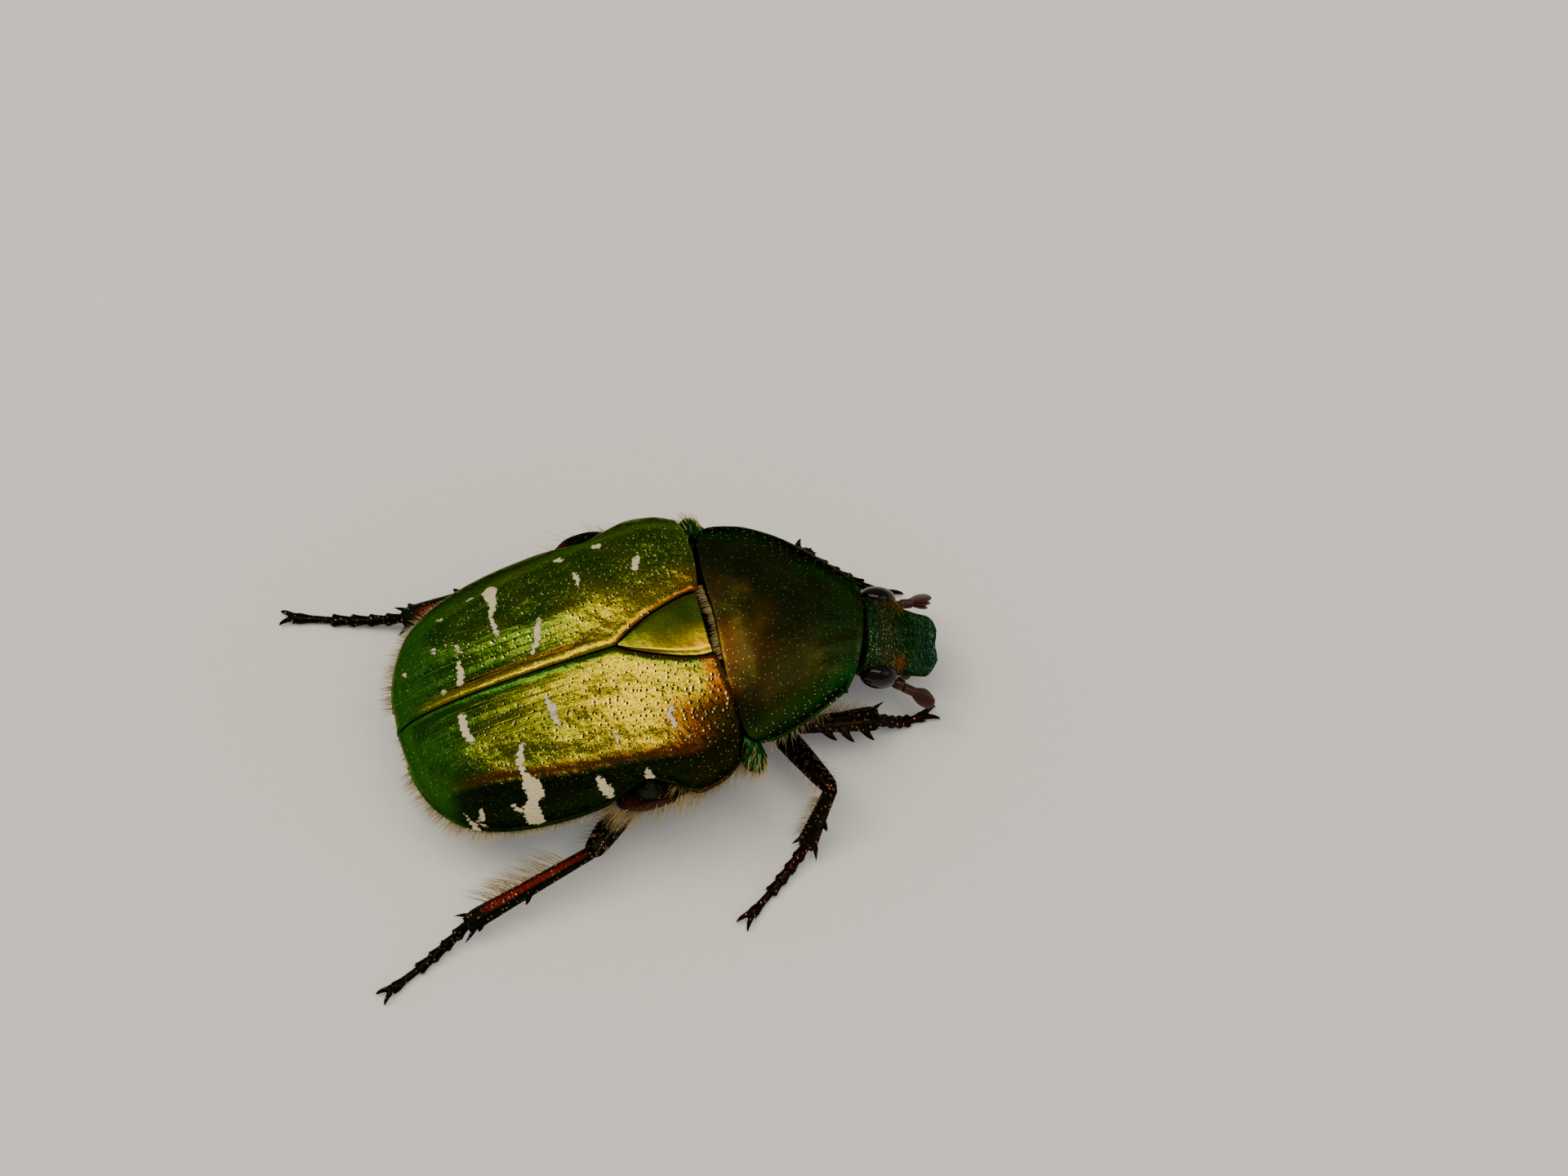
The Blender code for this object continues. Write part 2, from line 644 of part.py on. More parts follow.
def antenna(side):
    """A bent stalk of short joints and a club of three leaves."""
    sign = 1 if side == "left" else -1
    root = mirrored(ANTENNA_ROOT, sign)
    elbow = root + mirrored(ANTENNA_ELBOW, sign)
    neck = elbow + mirrored(ANTENNA_NECK, sign)
    tip = neck + mirrored((CLUB_LENGTH, CLUB_SPREAD, 0), sign)
    matrix = head_matrix()
    up = matrix.to_3x3() @ Vector((0, 0, 1))
    scape_end = matrix @ (elbow + Vector((0.1, 0, 0)))
    pieces = [
        limb("scape", matrix @ root, scape_end, SCAPE_RADII, around=8, rings=4),
        limb("stalk", matrix @ elbow, matrix @ neck, STALK_RADII, around=8, rings=8),
        antenna_club("club", matrix @ neck.lerp(tip, -0.12), matrix @ tip, up),
    ]
    return fuse(f"{side}_antenna", pieces)


def palp(side):
    """A short jointed mouth feeler under the front of the head."""
    sign = 1 if side == "left" else -1
    matrix = head_matrix()
    root, tip = matrix @ mirrored(PALP_ROOT, sign), matrix @ mirrored(PALP_TIP, sign)
    return limb(f"{side}_palp", root, tip, PALP_RADII, around=8)


def joint_plane(before, joint, after):
    """The plane's normal that halves the bend at a joint."""
    into, out = (joint - before).normalized(), (after - joint).normalized()
    return (into + out).normalized()


def femur(leg):
    """The thigh, cut flat where it meets its socket and at the knee."""
    socket, knee, ankle, _ = leg_points(leg)
    out = (knee - socket).normalized()
    r = LEGS[leg]["femur"]
    profile = ((0, r * 0.72), (0.35, r), (0.75, r * 0.86), (1, r * 0.62))
    start, end = socket + out * 0.2, knee + out * 0.22
    thigh = limb(f"{leg}_femur", start, end, profile, flat=THIGH_FLATNESS, around=12, rings=8)
    trim(thigh, socket + out * (COXA_REACH + GAP / 2), -out)
    bend = joint_plane(socket, knee, ankle)
    return trim(thigh, knee - bend * GAP / 2, bend)


def tibia(leg):
    """The shin, with its outer teeth and the spurs at its end."""
    socket, knee, ankle, _ = leg_points(leg)
    along = (ankle - knee).normalized()
    side, rise = frame_along(along)
    outward = side if side.y * ankle.y > 0 else -side
    r = LEGS[leg]["tibia"]
    fore = leg.endswith("fore")
    middle, last = (0.95, 1.1) if fore else (0.82, 1.0)
    profile = ((0, r * 0.72), (0.12, r * 0.78), (0.6, r * middle), (1, r * last))
    shin = limb("shin", knee - along * 0.18, ankle + along * 0.25, profile, flat=LIMB_FLATNESS, rings=8)
    bend = joint_plane(socket, knee, ankle)
    trim(shin, knee + bend * GAP / 2, -bend)
    wrist = wrist_plane(leg)
    trim(shin, ankle - wrist * GAP / 2, wrist)
    length = (ankle - knee).length
    pieces = [shin]
    reach = FORE_TOOTH_REACH if fore else OTHER_TOOTH_REACH
    for place in FORE_TEETH if fore else OTHER_TEETH:
        root = knee + along * length * place + outward * r * 0.4
        tip = root + outward * reach + along * 0.28
        pieces.append(spike("tooth", root - along * 0.1, tip, TOOTH_RADIUS))
    for turn in (-1,) if fore else (-1, 1):
        root = ankle - along * 0.32 + outward * turn * r * 0.55 - rise * 0.08
        tip = ankle + along * SPUR_REACH + outward * turn * (r + 0.24) - rise * 0.12
        pieces.append(spike("spur", root, tip, SPUR_RADIUS))
    return fuse(f"{leg}_tibia", pieces)


def wrist_plane(leg):
    """The direction across which a shin and its foot are parted."""
    _, knee, ankle, _ = leg_points(leg)
    return joint_plane(knee, ankle, tarsus_line(leg)(0.2))


def tarsus_line(leg):
    """The foot's centreline from ankle to claw root, falling to the floor and then lying along it."""
    _, _, ankle, foot = leg_points(leg)
    touch = ankle.lerp(foot, TARSUS_LANDING)
    touch.z = FLOOR_SOLE - 0.12

    def at(share):
        s = min(max(share, 0.0), 1.0)
        first, second = ankle.lerp(touch, s), touch.lerp(foot, s)
        return first.lerp(second, s)

    return at


def tarsus(leg):
    """Five flaring foot joints and two claws, cut flat where they stand on the floor."""
    line = tarsus_line(leg)
    pieces, begin = [], 0.0
    thin, thick = TARSUS_RADII
    short, long = ((0, thin), (0.7, thick), (1, thin)), ((0, thin), (0.5, thin), (0.85, thick), (1, thin))
    for i, share in enumerate(TARSUS_SEGMENTS):
        start, end = line(begin), line(begin + share)
        direction = (end - start).normalized()
        profile = short if i < len(TARSUS_SEGMENTS) - 1 else long
        pieces.append(limb(f"joint_{i}", start - direction * TARSUS_OVERLAP, end, profile, around=8, rings=5))
        begin += share
    end, before = line(1.0), line(0.9)
    forward = (end - before).normalized()
    flat_forward = Vector((forward.x, forward.y, 0)).normalized()
    for turn in (-1, 1):
        aim = Matrix.Rotation(turn * CLAW_SPREAD, 3, "Z") @ flat_forward
        tip = end + aim * CLAW_LENGTH
        tip.z = CLAW_TIP_HEIGHT
        root = end - flat_forward * TARSUS_OVERLAP
        root.z = max(root.z, FLOOR_SOLE)
        pieces.append(limb("claw", root, tip, CLAW_RADII, bow=CLAW_BOW, around=6, rings=5))
    foot = fuse(f"{leg}_tarsus", pieces)
    wrist = wrist_plane(leg)
    trim(foot, Vector(LEGS[leg]["ankle"]) + wrist * GAP / 2, -wrist)
    return largest_body(trim(foot, (0, 0, 0), (0, 0, -1)))


def finish_material(name, look):
    colour, roughness, metallic = look
    material = bpy.data.materials.new(name)
    material.use_nodes = True
    shader = material.node_tree.nodes["Principled BSDF"]
    shader.inputs["Base Color"].default_value = (*colour, 1)
    shader.inputs["Roughness"].default_value = roughness
    shader.inputs["Metallic"].default_value = metallic
    return material


def dress(obj, look, collection):
    """Gives a finished piece its material, smooth shading and place in the beetle's collection."""
    obj.data.materials.clear()
    obj.data.materials.append(finish_material(obj.name, look))
    obj.data.transform(Matrix.Translation(STAND_SHIFT * MM))
    obj.data.shade_smooth()
    obj.data.set_sharp_from_angle(angle=math.radians(40))
    bpy.context.scene.collection.objects.unlink(obj)
    collection.objects.link(obj)


def main():
    for obj in list(bpy.data.objects):
        bpy.data.objects.remove(obj)
    beetle = bpy.data.collections.new("rose_chafer")
    bpy.context.scene.collection.children.link(beetle)
    for side in ("left", "right"):
        dress(wing_case(side), CUTICLE["green"], beetle)
        dress(side_plate(side), CUTICLE["green"], beetle)
        dress(eye(side), EYE_BLACK, beetle)
        dress(antenna(side), HORN_BROWN, beetle)
        dress(palp(side), HORN_BROWN, beetle)
    dress(scutellum(), CUTICLE["green"], beetle)
    dress(pronotum(), CUTICLE["bronze"], beetle)
    dress(prosternum(), DARK_CUTICLE, beetle)
    dress(thorax(), DARK_CUTICLE, beetle)
    dress(abdomen(), DARK_CUTICLE, beetle)
    dress(head(), CUTICLE["green"], beetle)
    for leg in LEGS:
        for piece in (femur(leg), tibia(leg), tarsus(leg)):
            dress(piece, DARK_CUTICLE, beetle)


main()
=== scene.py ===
"""Rose chafer: the looks of a still, life-size beetle, modelled over its solid frame.

Lengths are in millimetres in the beetle's own frame, where x = 0 is the front edge of the wing cases, y = 0
their seam and z = 0 the floor. Each finished piece is set into the frame's metres once, by its mesh. The
beetle faces +X.
"""

import math
from functools import partial

import bpy
import numpy as np
from bpy.props import FloatProperty, FloatVectorProperty, IntProperty, PointerProperty
from mathutils import Matrix, Vector


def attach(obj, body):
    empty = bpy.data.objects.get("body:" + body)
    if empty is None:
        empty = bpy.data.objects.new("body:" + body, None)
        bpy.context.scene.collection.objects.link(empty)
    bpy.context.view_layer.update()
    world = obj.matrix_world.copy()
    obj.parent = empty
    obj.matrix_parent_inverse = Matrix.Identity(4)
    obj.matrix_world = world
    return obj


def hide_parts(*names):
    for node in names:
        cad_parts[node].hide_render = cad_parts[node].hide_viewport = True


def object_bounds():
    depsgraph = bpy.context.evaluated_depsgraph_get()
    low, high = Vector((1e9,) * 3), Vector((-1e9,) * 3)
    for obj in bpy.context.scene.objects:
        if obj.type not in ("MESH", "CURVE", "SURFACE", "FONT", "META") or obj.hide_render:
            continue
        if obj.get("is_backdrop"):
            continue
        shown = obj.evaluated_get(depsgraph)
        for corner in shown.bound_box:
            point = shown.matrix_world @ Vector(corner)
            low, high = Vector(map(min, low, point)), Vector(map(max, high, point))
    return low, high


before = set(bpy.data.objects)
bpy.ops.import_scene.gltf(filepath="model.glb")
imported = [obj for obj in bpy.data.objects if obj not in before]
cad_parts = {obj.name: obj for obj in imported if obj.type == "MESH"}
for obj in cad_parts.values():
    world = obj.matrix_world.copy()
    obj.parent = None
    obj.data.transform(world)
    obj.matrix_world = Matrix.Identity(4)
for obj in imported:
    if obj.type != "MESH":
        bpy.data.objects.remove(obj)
FRAME_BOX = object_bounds()

bl_info = {
    "name": "Rose Chafer",
    "version": (1, 0, 0),
    "blender": (4, 5, 0),
    "location": "3D View > Sidebar > Chafer",
    "description": "Builds a life-size rose chafer with metallic wing cases, chalky marks and golden hair",
    "category": "Add Mesh",
}

MM = 0.001
# The place of the beetle's own origin in the frame.
STAND = np.array((3.004, 0.642, 0.0))
SIDES = (("left", 1), ("right", -1))
UP = (0, 0, 1)

# Wing cases and scutellum. A pair is a place along and the size there.
WING_CASE_FRONT = 0.36
WING_CASE_LENGTH = 10.96
WING_CASE_ARCH = 2.5
WING_CASE_END = 4.1
WING_CASE_END_HEIGHT = 4.4
WING_CASE_FALL = 2.6
WING_CASE_CREST = 7.75
WING_CASE_HALF_WIDTHS = (
    (-11, 4.5), (-6, 4.62), (-4.6, 4.58), (-3.6, 4.38), (-2.9, 4.24),
    (-2.1, 4.55), (-1.3, 4.88), (-0.5, 4.75), (0.4, 4.2),
)
WING_CASE_RIMS = (
    (-11, 4.35), (-8.2, 4.6), (-6, 4.95), (-4.6, 5.3), (-3.6, 5.9),
    (-2.9, 6.2), (-2.1, 5.7), (-1.3, 5.0), (-0.6, 5.1), (0.4, 5.6),
)
FLANK_RIB = ((-10.4, 2.5), (-9.3, 2.75), (-7.9, 2.95), (-5.2, 3.5), (-2.5, 3.85), (-1.2, 4.0), (0.3, 3.6))
SEAM_GAP = 0.03
SCUTELLUM_LENGTH = 2.6
SCUTELLUM_HALF_WIDTH = 1.08
SHELL_WALL = 0.3
SHELL_BEVEL = 0.03
SHARP_ANGLE = math.radians(50)

# Pronotum and prosternum, by the place forward of the pronotum's base.
PRONOTUM_BASE = 0.5
PRONOTUM_LENGTH = 4.95
PRONOTUM_ARCH = 2.3
PRONOTUM_TURN_BASE = math.radians(-3)
PRONOTUM_TURN_FRONT = math.radians(-17)
PRONOTUM_HALF_WIDTHS = (
    (0, 3.68), (0.6, 3.84), (1.3, 3.76), (2.2, 3.42), (3.1, 2.88), (4.0, 2.22), (4.95, 1.5),
)
PRONOTUM_CRESTS = ((0, 7.5), (1, 7.5), (2, 7.25), (3, 6.75), (4, 6.0), (4.95, 5.15))
PRONOTUM_RIMS = ((0, 5.5), (1, 5.15), (2, 4.75), (3, 4.4), (4, 4.15), (4.95, 4.0))
PROSTERNUM_BELLIES = ((0, 3.0), (1, 2.6), (2, 2.4), (3, 2.45), (4, 2.75), (4.95, 3.1))

# Thorax and abdomen.
THORAX_FRONT = 0.7
THORAX_BACK = -4.1
ABDOMEN_BACK = -10.5
ABDOMEN_ROUNDING = -8.9
FLANK_HALF_WIDTHS = (
    (-11, 4.3), (-6, 4.4), (-4.4, 4.42), (-3.3, 4.7), (-2.5, 4.7),
    (-1.6, 4.55), (0.0, 4.2), (0.5, 3.9), (0.8, 3.2),
)
BELLY_HEIGHTS = (
    (-11, 3.5), (-10.3, 2.7), (-9, 2.1), (-7, 1.75), (-4, 1.6), (-2, 1.5), (0, 1.7), (0.8, 2.2),
)
BELLY_KEEL = 1.64
BELLY_PLATES = 5
BODY_UNDER_SHELL = 0.75
SKIN_GRAIN = 0.07
FLANK_PLATE_CENTRE = (-3.1, 5.15)
FLANK_PLATE_RADII = (1.05, 0.48)
SIDE_PLATE_LINE = ((0.75, 4.3, 4.05), (0.65, 4.2, 4.9), (0.55, 3.55, 5.75))
SIDE_PLATE_RADII = ((0, 0.08), (0.12, 0.3), (0.35, 0.5), (0.7, 0.48), (0.93, 0.25), (1, 0.06))

# The head, in its own frame from the neck: along, sideways and up.
HEAD_NECK = Vector((5.55, -0.95, 4.15))
HEAD_YAW = math.radians(-14)
HEAD_PITCH = math.radians(44)
HEAD_START = -0.45
HEAD_LENGTH = 2.62
HEAD_HALF_WIDTHS = (
    (-0.7, 1.1), (0, 1.38), (0.5, 1.42), (0.95, 1.32), (1.35, 1.14), (1.8, 1.1), (2.3, 1.08), (2.62, 0.86),
)
HEAD_TOPS = ((-0.7, 0.3), (0, 0.62), (0.6, 0.75), (1.3, 0.6), (2.0, 0.42), (2.62, 0.34))
HEAD_BOTTOMS = ((-0.7, -0.75), (0, -1.1), (0.8, -1.1), (1.4, -0.8), (2.0, -0.45), (2.62, -0.1))
EYE_SEAT = (0.42, 1.33, -0.12)
EYE_RADII = (0.68, 0.44, 0.6)
EYE_FACET = 0.045
ANTENNA_ROOT = (1.3, 1.05, -0.5)
ANTENNA_BEADS = 5
CLUB_LENGTH = 0.72
PALP_ROOT = (1.6, 0.4, -0.8)
PALP_TIP = (2.55, 0.72, -1.15)
PALP_BEADS = 3
BEAD_RADII = ((0, 0.11), (0.5, 0.17), (0.9, 0.15), (1, 0.08))
SCAPE_RADII = ((0, 0.1), (0.1, 0.16), (0.65, 0.22), (0.93, 0.18), (1, 0.08))
LEAF_RADII = ((0, 0.07), (0.15, 0.17), (0.6, 0.27), (0.9, 0.21), (1, 0.08))

# Legs: coxa, knee, ankle and claw root.
COXA_RADIUS = 0.62
SOLE = 0.22
LEG_JOINTS = {
    "left_fore": ((3.2, 0.45, 2.05), (2.3, 3.1, 2.75), (4.4, 3.2, 1.35), (6.5, 1.6, SOLE)),
    "right_fore": ((2.95, -1.35, 2.05), (2.4, -2.9, 2.8), (4.95, -3.1, 1.85), (6.5, -3.0, SOLE)),
    "left_mid": ((1.0, 1.35, 1.7), (1.0, 4.7, 2.8), (-0.2, 5.5, 0.85), (-2.8, 6.1, SOLE)),
    "right_mid": ((1.15, -1.35, 1.7), (2.85, -5.35, 2.85), (1.5, -6.4, 0.85), (-0.9, -8.0, SOLE)),
    "left_hind": ((-3.1, 1.6, 1.62), (-5.2, 4.9, 2.75), (-9.6, 5.4, 1.0), (-13.3, 6.8, SOLE)),
    "right_hind": ((-2.5, -2.5, 2.2), (-5.45, -5.1, 2.75), (-10.2, -5.75, 1.0), (-13.3, -7.0, SOLE)),
}
FEMUR_RADII = dict(zip(LEG_JOINTS, (0.5, 0.5, 0.5, 0.42, 0.56, 0.5)))
TIBIA_RADII = dict(zip(LEG_JOINTS, (0.4, 0.4, 0.33, 0.33, 0.34, 0.33)))
FORE_TEETH = (0.34, 0.56, 0.82)
OTHER_TEETH = (0.52, 0.9)
ANKLE_SPINES = 7
TARSUS_SEGMENTS = (0.19, 0.17, 0.17, 0.17, 0.30)
TARSUS_LANDING = 0.42
JOINT_RADII = ((0, 0.09), (0.1, 0.13), (0.75, 0.2), (0.95, 0.24), (1, 0.12))
LAST_JOINT_RADII = ((0, 0.09), (0.1, 0.12), (0.6, 0.14), (0.92, 0.2), (1, 0.12))
SPINE_RADII = ((0, 0.04), (1, 0.008))
SPUR_RADII = ((0, 0.11), (0.5, 0.075), (1, 0.015))
CLAW_RADII = ((0, 0.11), (0.4, 0.09), (0.8, 0.05), (1, 0.012))
CLAW_SPREAD = math.radians(24)
CLAW_LENGTH = 0.62

# Patterns of the cuticle and the chalk, as counts to a millimetre, and the distance between striae.
CLOUDS = 0.8
GRAINS = 13.0
CHALK_RAGS = 7.0
CHALK_DUST = 11.0
STRIA_SPACING = 0.27

# Hairs. The fine ones are drawn thicker and fewer than the real ones, so that they show.
HAIR_SIDES = 3
HAIR_RINGS = (0.0, 0.4, 0.75)
HAIR_PATCH = 0.0015
THORAX_HAIRS = 7000
PROSTERNUM_HAIRS = 3200
ABDOMEN_HAIRS = 2800
SIDE_PLATE_HAIRS = 300
MARGIN_HAIRS = 760
BRUSH_HAIRS = 150
HIND_SHIN_HAIRS = 190
SHIN_HAIRS = 110
THIGH_HAIRS = 160
BODY_AXIS = ((-11, 0, 4.5), (6, 0, 4.5))
SIDE_PLATE_AXIS = ((0.7, 0, 4.0), (0.5, 0, 5.6))

# The camera, with the photograph's framing. It aims ahead and up in the picture's plane, at this height.
PHOTO_WIDTH_PIXELS = 1920
PIXELS_TO_A_MM = 37
CAMERA_TILT = math.radians(19)
CAMERA_ROLL = math.radians(16.3)
CAMERA_DISTANCE = 200
CAMERA_AIM = (3.21, 0.385, 7.3)

# The floor and the lamps, in metres: direction, distance, size, power and tint.
FLOOR_SIZE = 1.6
LAMPS = {
    "key": ((-0.04, 0.03, 1.0), 0.4, (0.14, 0.5), 1.4, "#fff4e0"),
    "fill": ((0.75, -0.45, 0.5), 0.5, (0.3, 0.3), 0.35, "#eef4ff"),
    "back": ((-0.8, 0.35, 0.45), 0.5, (0.3, 0.3), 0.25, "#f4fff2"),
}

# Chalky marks. Each is a chain of round spots: place along, distance from the seam, and radius.
CHALK_MARKS = {
    "left": (
        ((-6.25, 3.3, 0.28), (-6.25, 2.8, 0.13), (-6.45, 2.4, 0.07), (-6.4, 2.0, 0.08), (-6.35, 1.65, 0.08)),
        ((-4.9, 1.65, 0.07), (-5.05, 1.25, 0.13), (-5.15, 0.95, 0.1), (-5.4, 0.65, 0.06)),
        ((-7.8, 1.8, 0.06), (-7.75, 1.6, 0.07)),
        ((-7.85, 1.2, 0.08), (-7.9, 0.85, 0.11), (-8.0, 0.5, 0.1)),
        ((-8.6, 1.95, 0.07), (-8.6, 1.85, 0.07)),
        ((-8.6, 0.45, 0.09), (-8.6, 0.4, 0.08)),
        ((-8.15, 1.95, 0.04), (-8.15, 1.9, 0.04)),
        ((-3.8, 3.6, 0.11), (-3.7, 3.6, 0.11)),
        ((-3.35, 2.9, 0.07), (-3.3, 2.65, 0.08), (-3.35, 2.5, 0.05)),
        ((-1.2, 2.8, 0.1), (-1.3, 2.65, 0.11), (-1.35, 2.45, 0.1)),
        ((-2.5, 3.7, 0.09), (-2.3, 3.7, 0.1)),
        ((-8.2, 3.0, 0.05), (-8.05, 3.0, 0.05)),
        ((-7.0, 3.35, 0.04), (-6.9, 3.35, 0.04)),
        ((-9.85, 1.95, 0.05), (-9.8, 1.6, 0.06)),
    ),
    "right": (
        ((-8.25, 0.6, 0.13), (-8.25, 0.9, 0.14), (-8.25, 1.2, 0.13), (-8.1, 1.55, 0.08)),
        ((-5.35, 1.0, 0.07), (-5.25, 1.4, 0.14), (-5.25, 1.75, 0.11), (-5.2, 2.05, 0.06)),
        (
            (-6.5, 2.2, 0.06), (-6.7, 2.5, 0.11), (-6.8, 2.8, 0.1), (-6.7, 3.1, 0.11),
            (-6.6, 3.5, 0.3), (-6.55, 3.75, 0.28), (-6.75, 3.9, 0.17), (-6.85, 4.1, 0.28),
            (-6.85, 4.35, 0.3), (-6.6, 4.4, 0.07),
        ),
        ((-7.4, 3.85, 0.08), (-7.2, 4.05, 0.07)),
        ((-4.4, 3.95, 0.08), (-4.35, 4.15, 0.17), (-4.25, 4.35, 0.19), (-4.2, 4.45, 0.11)),
        ((-2.8, 4.15, 0.1), (-2.8, 4.25, 0.19)),
        ((-9.15, 3.45, 0.06), (-9.05, 3.65, 0.11), (-8.95, 3.8, 0.19), (-8.9, 3.85, 0.15)),
        ((-8.5, 3.6, 0.07), (-8.55, 3.8, 0.11), (-8.75, 3.8, 0.07)),
        ((-8.5, 4.0, 0.07), (-8.7, 3.85, 0.07)),
        ((-9.95, 2.0, 0.05), (-10.0, 2.2, 0.05)),
        ((-1.45, 2.6, 0.08), (-1.55, 2.75, 0.08), (-1.5, 3.1, 0.09)),
        ((-3.45, 2.8, 0.06), (-3.45, 3.1, 0.06)),
        ((-9.45, 3.55, 0.03), (-9.3, 3.65, 0.03)),
    ),
}


def linear(hex_colour):
    """An sRGB hex colour as the linear numbers that shaders take."""
    shares = [int(hex_colour[i : i + 2], 16) / 255 for i in (1, 3, 5)]
    return tuple(s / 12.92 if s <= 0.04045 else ((s + 0.055) / 1.055) ** 2.4 for s in shares)


def colour(name, description, hex_colour):
    return FloatVectorProperty(
        name=name, description=description, subtype="COLOR", size=3, min=0, max=1, default=linear(hex_colour)
    )


class ChaferColours(bpy.types.PropertyGroup):
    """Colours of the cuticle, the marks and the hair."""

    green: colour("Wing case green", "The ground colour of the wing cases", "#2c5816")
    # Gold over the disc: the cuticle's own gold, spread wider as a painted highlight where the key light
    # would mirror.
    gold: colour("Wing case gold", "The flush over the disc of each wing case", "#a08a00")
    # Copper at the shoulder: the cuticle's own copper, partly a painted reflection.
    copper: colour("Shoulder copper", "The flush at the front of the right wing case", "#743c04")
    # The dark flank is painted dark reflection and painted shade on the sides that turn away.
    flank: colour("Dark flank", "The steep side of each wing case", "#161d09")
    chalk: colour("Chalk", "The cream marks on the wing cases", "#fbeab8")
    shield: colour("Shield olive", "The ground colour of the shield", "#2b3210")
    shield_bronze: colour("Shield bronze", "The middle and base of the shield", "#38240a")
    shield_green: colour("Shield green", "The sides and front of the shield", "#164018")
    # Painted highlight: the glint at the base of the shield. It is also the tone of two faint olive-gold
    # patches.
    shield_painted_glint: colour("Shield gold", "The glint at the base of the shield", "#8a6a14")
    face: colour("Face green", "The head", "#18321a")
    clypeus: colour("Clypeus green", "The square front of the head", "#1c3e2a")
    leg: colour("Leg green-black", "Legs and underside", "#0c0e08")
    leg_copper: colour("Leg copper", "Hind shins and the plates of the flank", "#5c160c")
    horn: colour("Horn", "Feelers and mouth parts", "#2a1204")
    hair: colour("Hair", "Golden hair of the flanks and legs", "#a8925a")


class ChaferSizes(bpy.types.PropertyGroup):
    """Sizes that a user would change, in millimetres."""

    hair_length: FloatProperty(
        name="Hair length", description="Length of the longest hairs", default=0.95, min=0.2, max=2
    )
    hair_thickness: FloatProperty(
        name="Hair thickness", description="Radius at the root of a hair", default=0.0115, min=0.005, max=0.05
    )
    pit_spacing: FloatProperty(
        name="Pit spacing", description="Distance between a wing case's pits", default=0.25, min=0.1, max=1
    )
    seed: IntProperty(name="Seed", description="Start of the random draws", default=7, min=0)


def smooth_curve(stations, at):
    """Heights on the smooth curve through the stations, which never overshoots them."""
    places, heights = np.array(stations, float).T
    at = np.clip(at, places[0], places[-1])
    slopes = np.diff(heights) / np.diff(places)
    tangents = np.concatenate([[slopes[0]], np.zeros(len(slopes) - 1), [slopes[-1]]])
    before, after = slopes[:-1], slopes[1:]
    joined = before * after > 0
    tangents[1:-1][joined] = (2 * before * after)[joined] / (before + after)[joined]
    i = np.clip(np.searchsorted(places, at, side="right") - 1, 0, len(slopes) - 1)
    width = places[i + 1] - places[i]
    s = (at - places[i]) / width
    return (
        heights[i] * (1 + 2 * s) * (1 - s) ** 2
        + heights[i + 1] * s * s * (3 - 2 * s)
        + tangents[i] * width * s * (1 - s) ** 2
        - tangents[i + 1] * width * s * s * (1 - s)
    )


def bell(value, centre, width):
    return np.exp(-(((value - centre) / width) ** 2))


def ramp(value, start, end):
    s = np.clip((value - start) / (end - start), 0.0, 1.0)
    return s * s * (3 - 2 * s)


def columns(*parts):
    """Stacks arrays or numbers into rows of points."""
    return np.stack(np.broadcast_arrays(*parts), axis=-1).astype(float)


def unit(vector):
    return vector / np.linalg.norm(vector)


def unit_rows(vectors):
    return vectors / np.maximum(np.linalg.norm(vectors, axis=1), 1e-9)[:, None]


def superellipse(angle, power):
    """Cosine and sine bent towards a rounded box, as power grows above 2."""
    c, s = np.cos(angle), np.sin(angle)
    return np.sign(c) * np.abs(c) ** (2 / power), np.sign(s) * np.abs(s) ** (2 / power)


def select_only(*objs):
    bpy.ops.object.select_all(action="DESELECT")
    for obj in objs:
        obj.select_set(True)
    bpy.context.view_layer.objects.active = objs[0]


def edit_whole(obj, operator, **settings):
    """Runs an edit-mode operator on all of a mesh."""
    select_only(obj)
    bpy.ops.object.mode_set(mode="EDIT")
    bpy.ops.mesh.select_all(action="SELECT")
    operator(**settings)
    bpy.ops.object.mode_set(mode="OBJECT")


def vertex_places(obj):
    flat = np.empty(len(obj.data.vertices) * 3)
    obj.data.vertices.foreach_get("co", flat)
    return flat.reshape(-1, 3)


def vertex_normals(obj):
    flat = np.empty(len(obj.data.vertices) * 3)
    obj.data.vertex_normals.foreach_get("vector", flat)
    return flat.reshape(-1, 3)


def place_vertices(obj, points):
    obj.data.vertices.foreach_set("co", np.ascontiguousarray(points, float).ravel())
    obj.data.update()


def lift_vertices(obj, heights):
    place_vertices(obj, vertex_places(obj) + vertex_normals(obj) * heights[:, None])


def dress(obj, **attributes):
    """Stores threes of numbers or arrays on the vertices, which the cuticle reads by their names."""
    each_vertex = np.zeros(len(obj.data.vertices))
    for name, parts in attributes.items():
        layer = obj.data.attributes.new(name, "FLOAT_VECTOR", "POINT")
        values = np.stack([part + each_vertex for part in parts], axis=-1)
        layer.data.foreach_set("vector", values.astype(np.float32).ravel())


def apply_modifier(obj, kind, **settings):
    modifier = obj.modifiers.new(kind.lower(), kind)
    for key, value in settings.items():
        setattr(modifier, key, value)
    select_only(obj)
    bpy.ops.object.modifier_apply(modifier=modifier.name)


def thicken(shell):
    """Gives a sheet its wall, inwards, and softens the edges."""
    apply_modifier(shell, "SOLIDIFY", thickness=SHELL_WALL, offset=-1)
    apply_modifier(
        shell, "BEVEL", width=SHELL_BEVEL, segments=2, limit_method="ANGLE", angle_limit=SHARP_ANGLE
    )


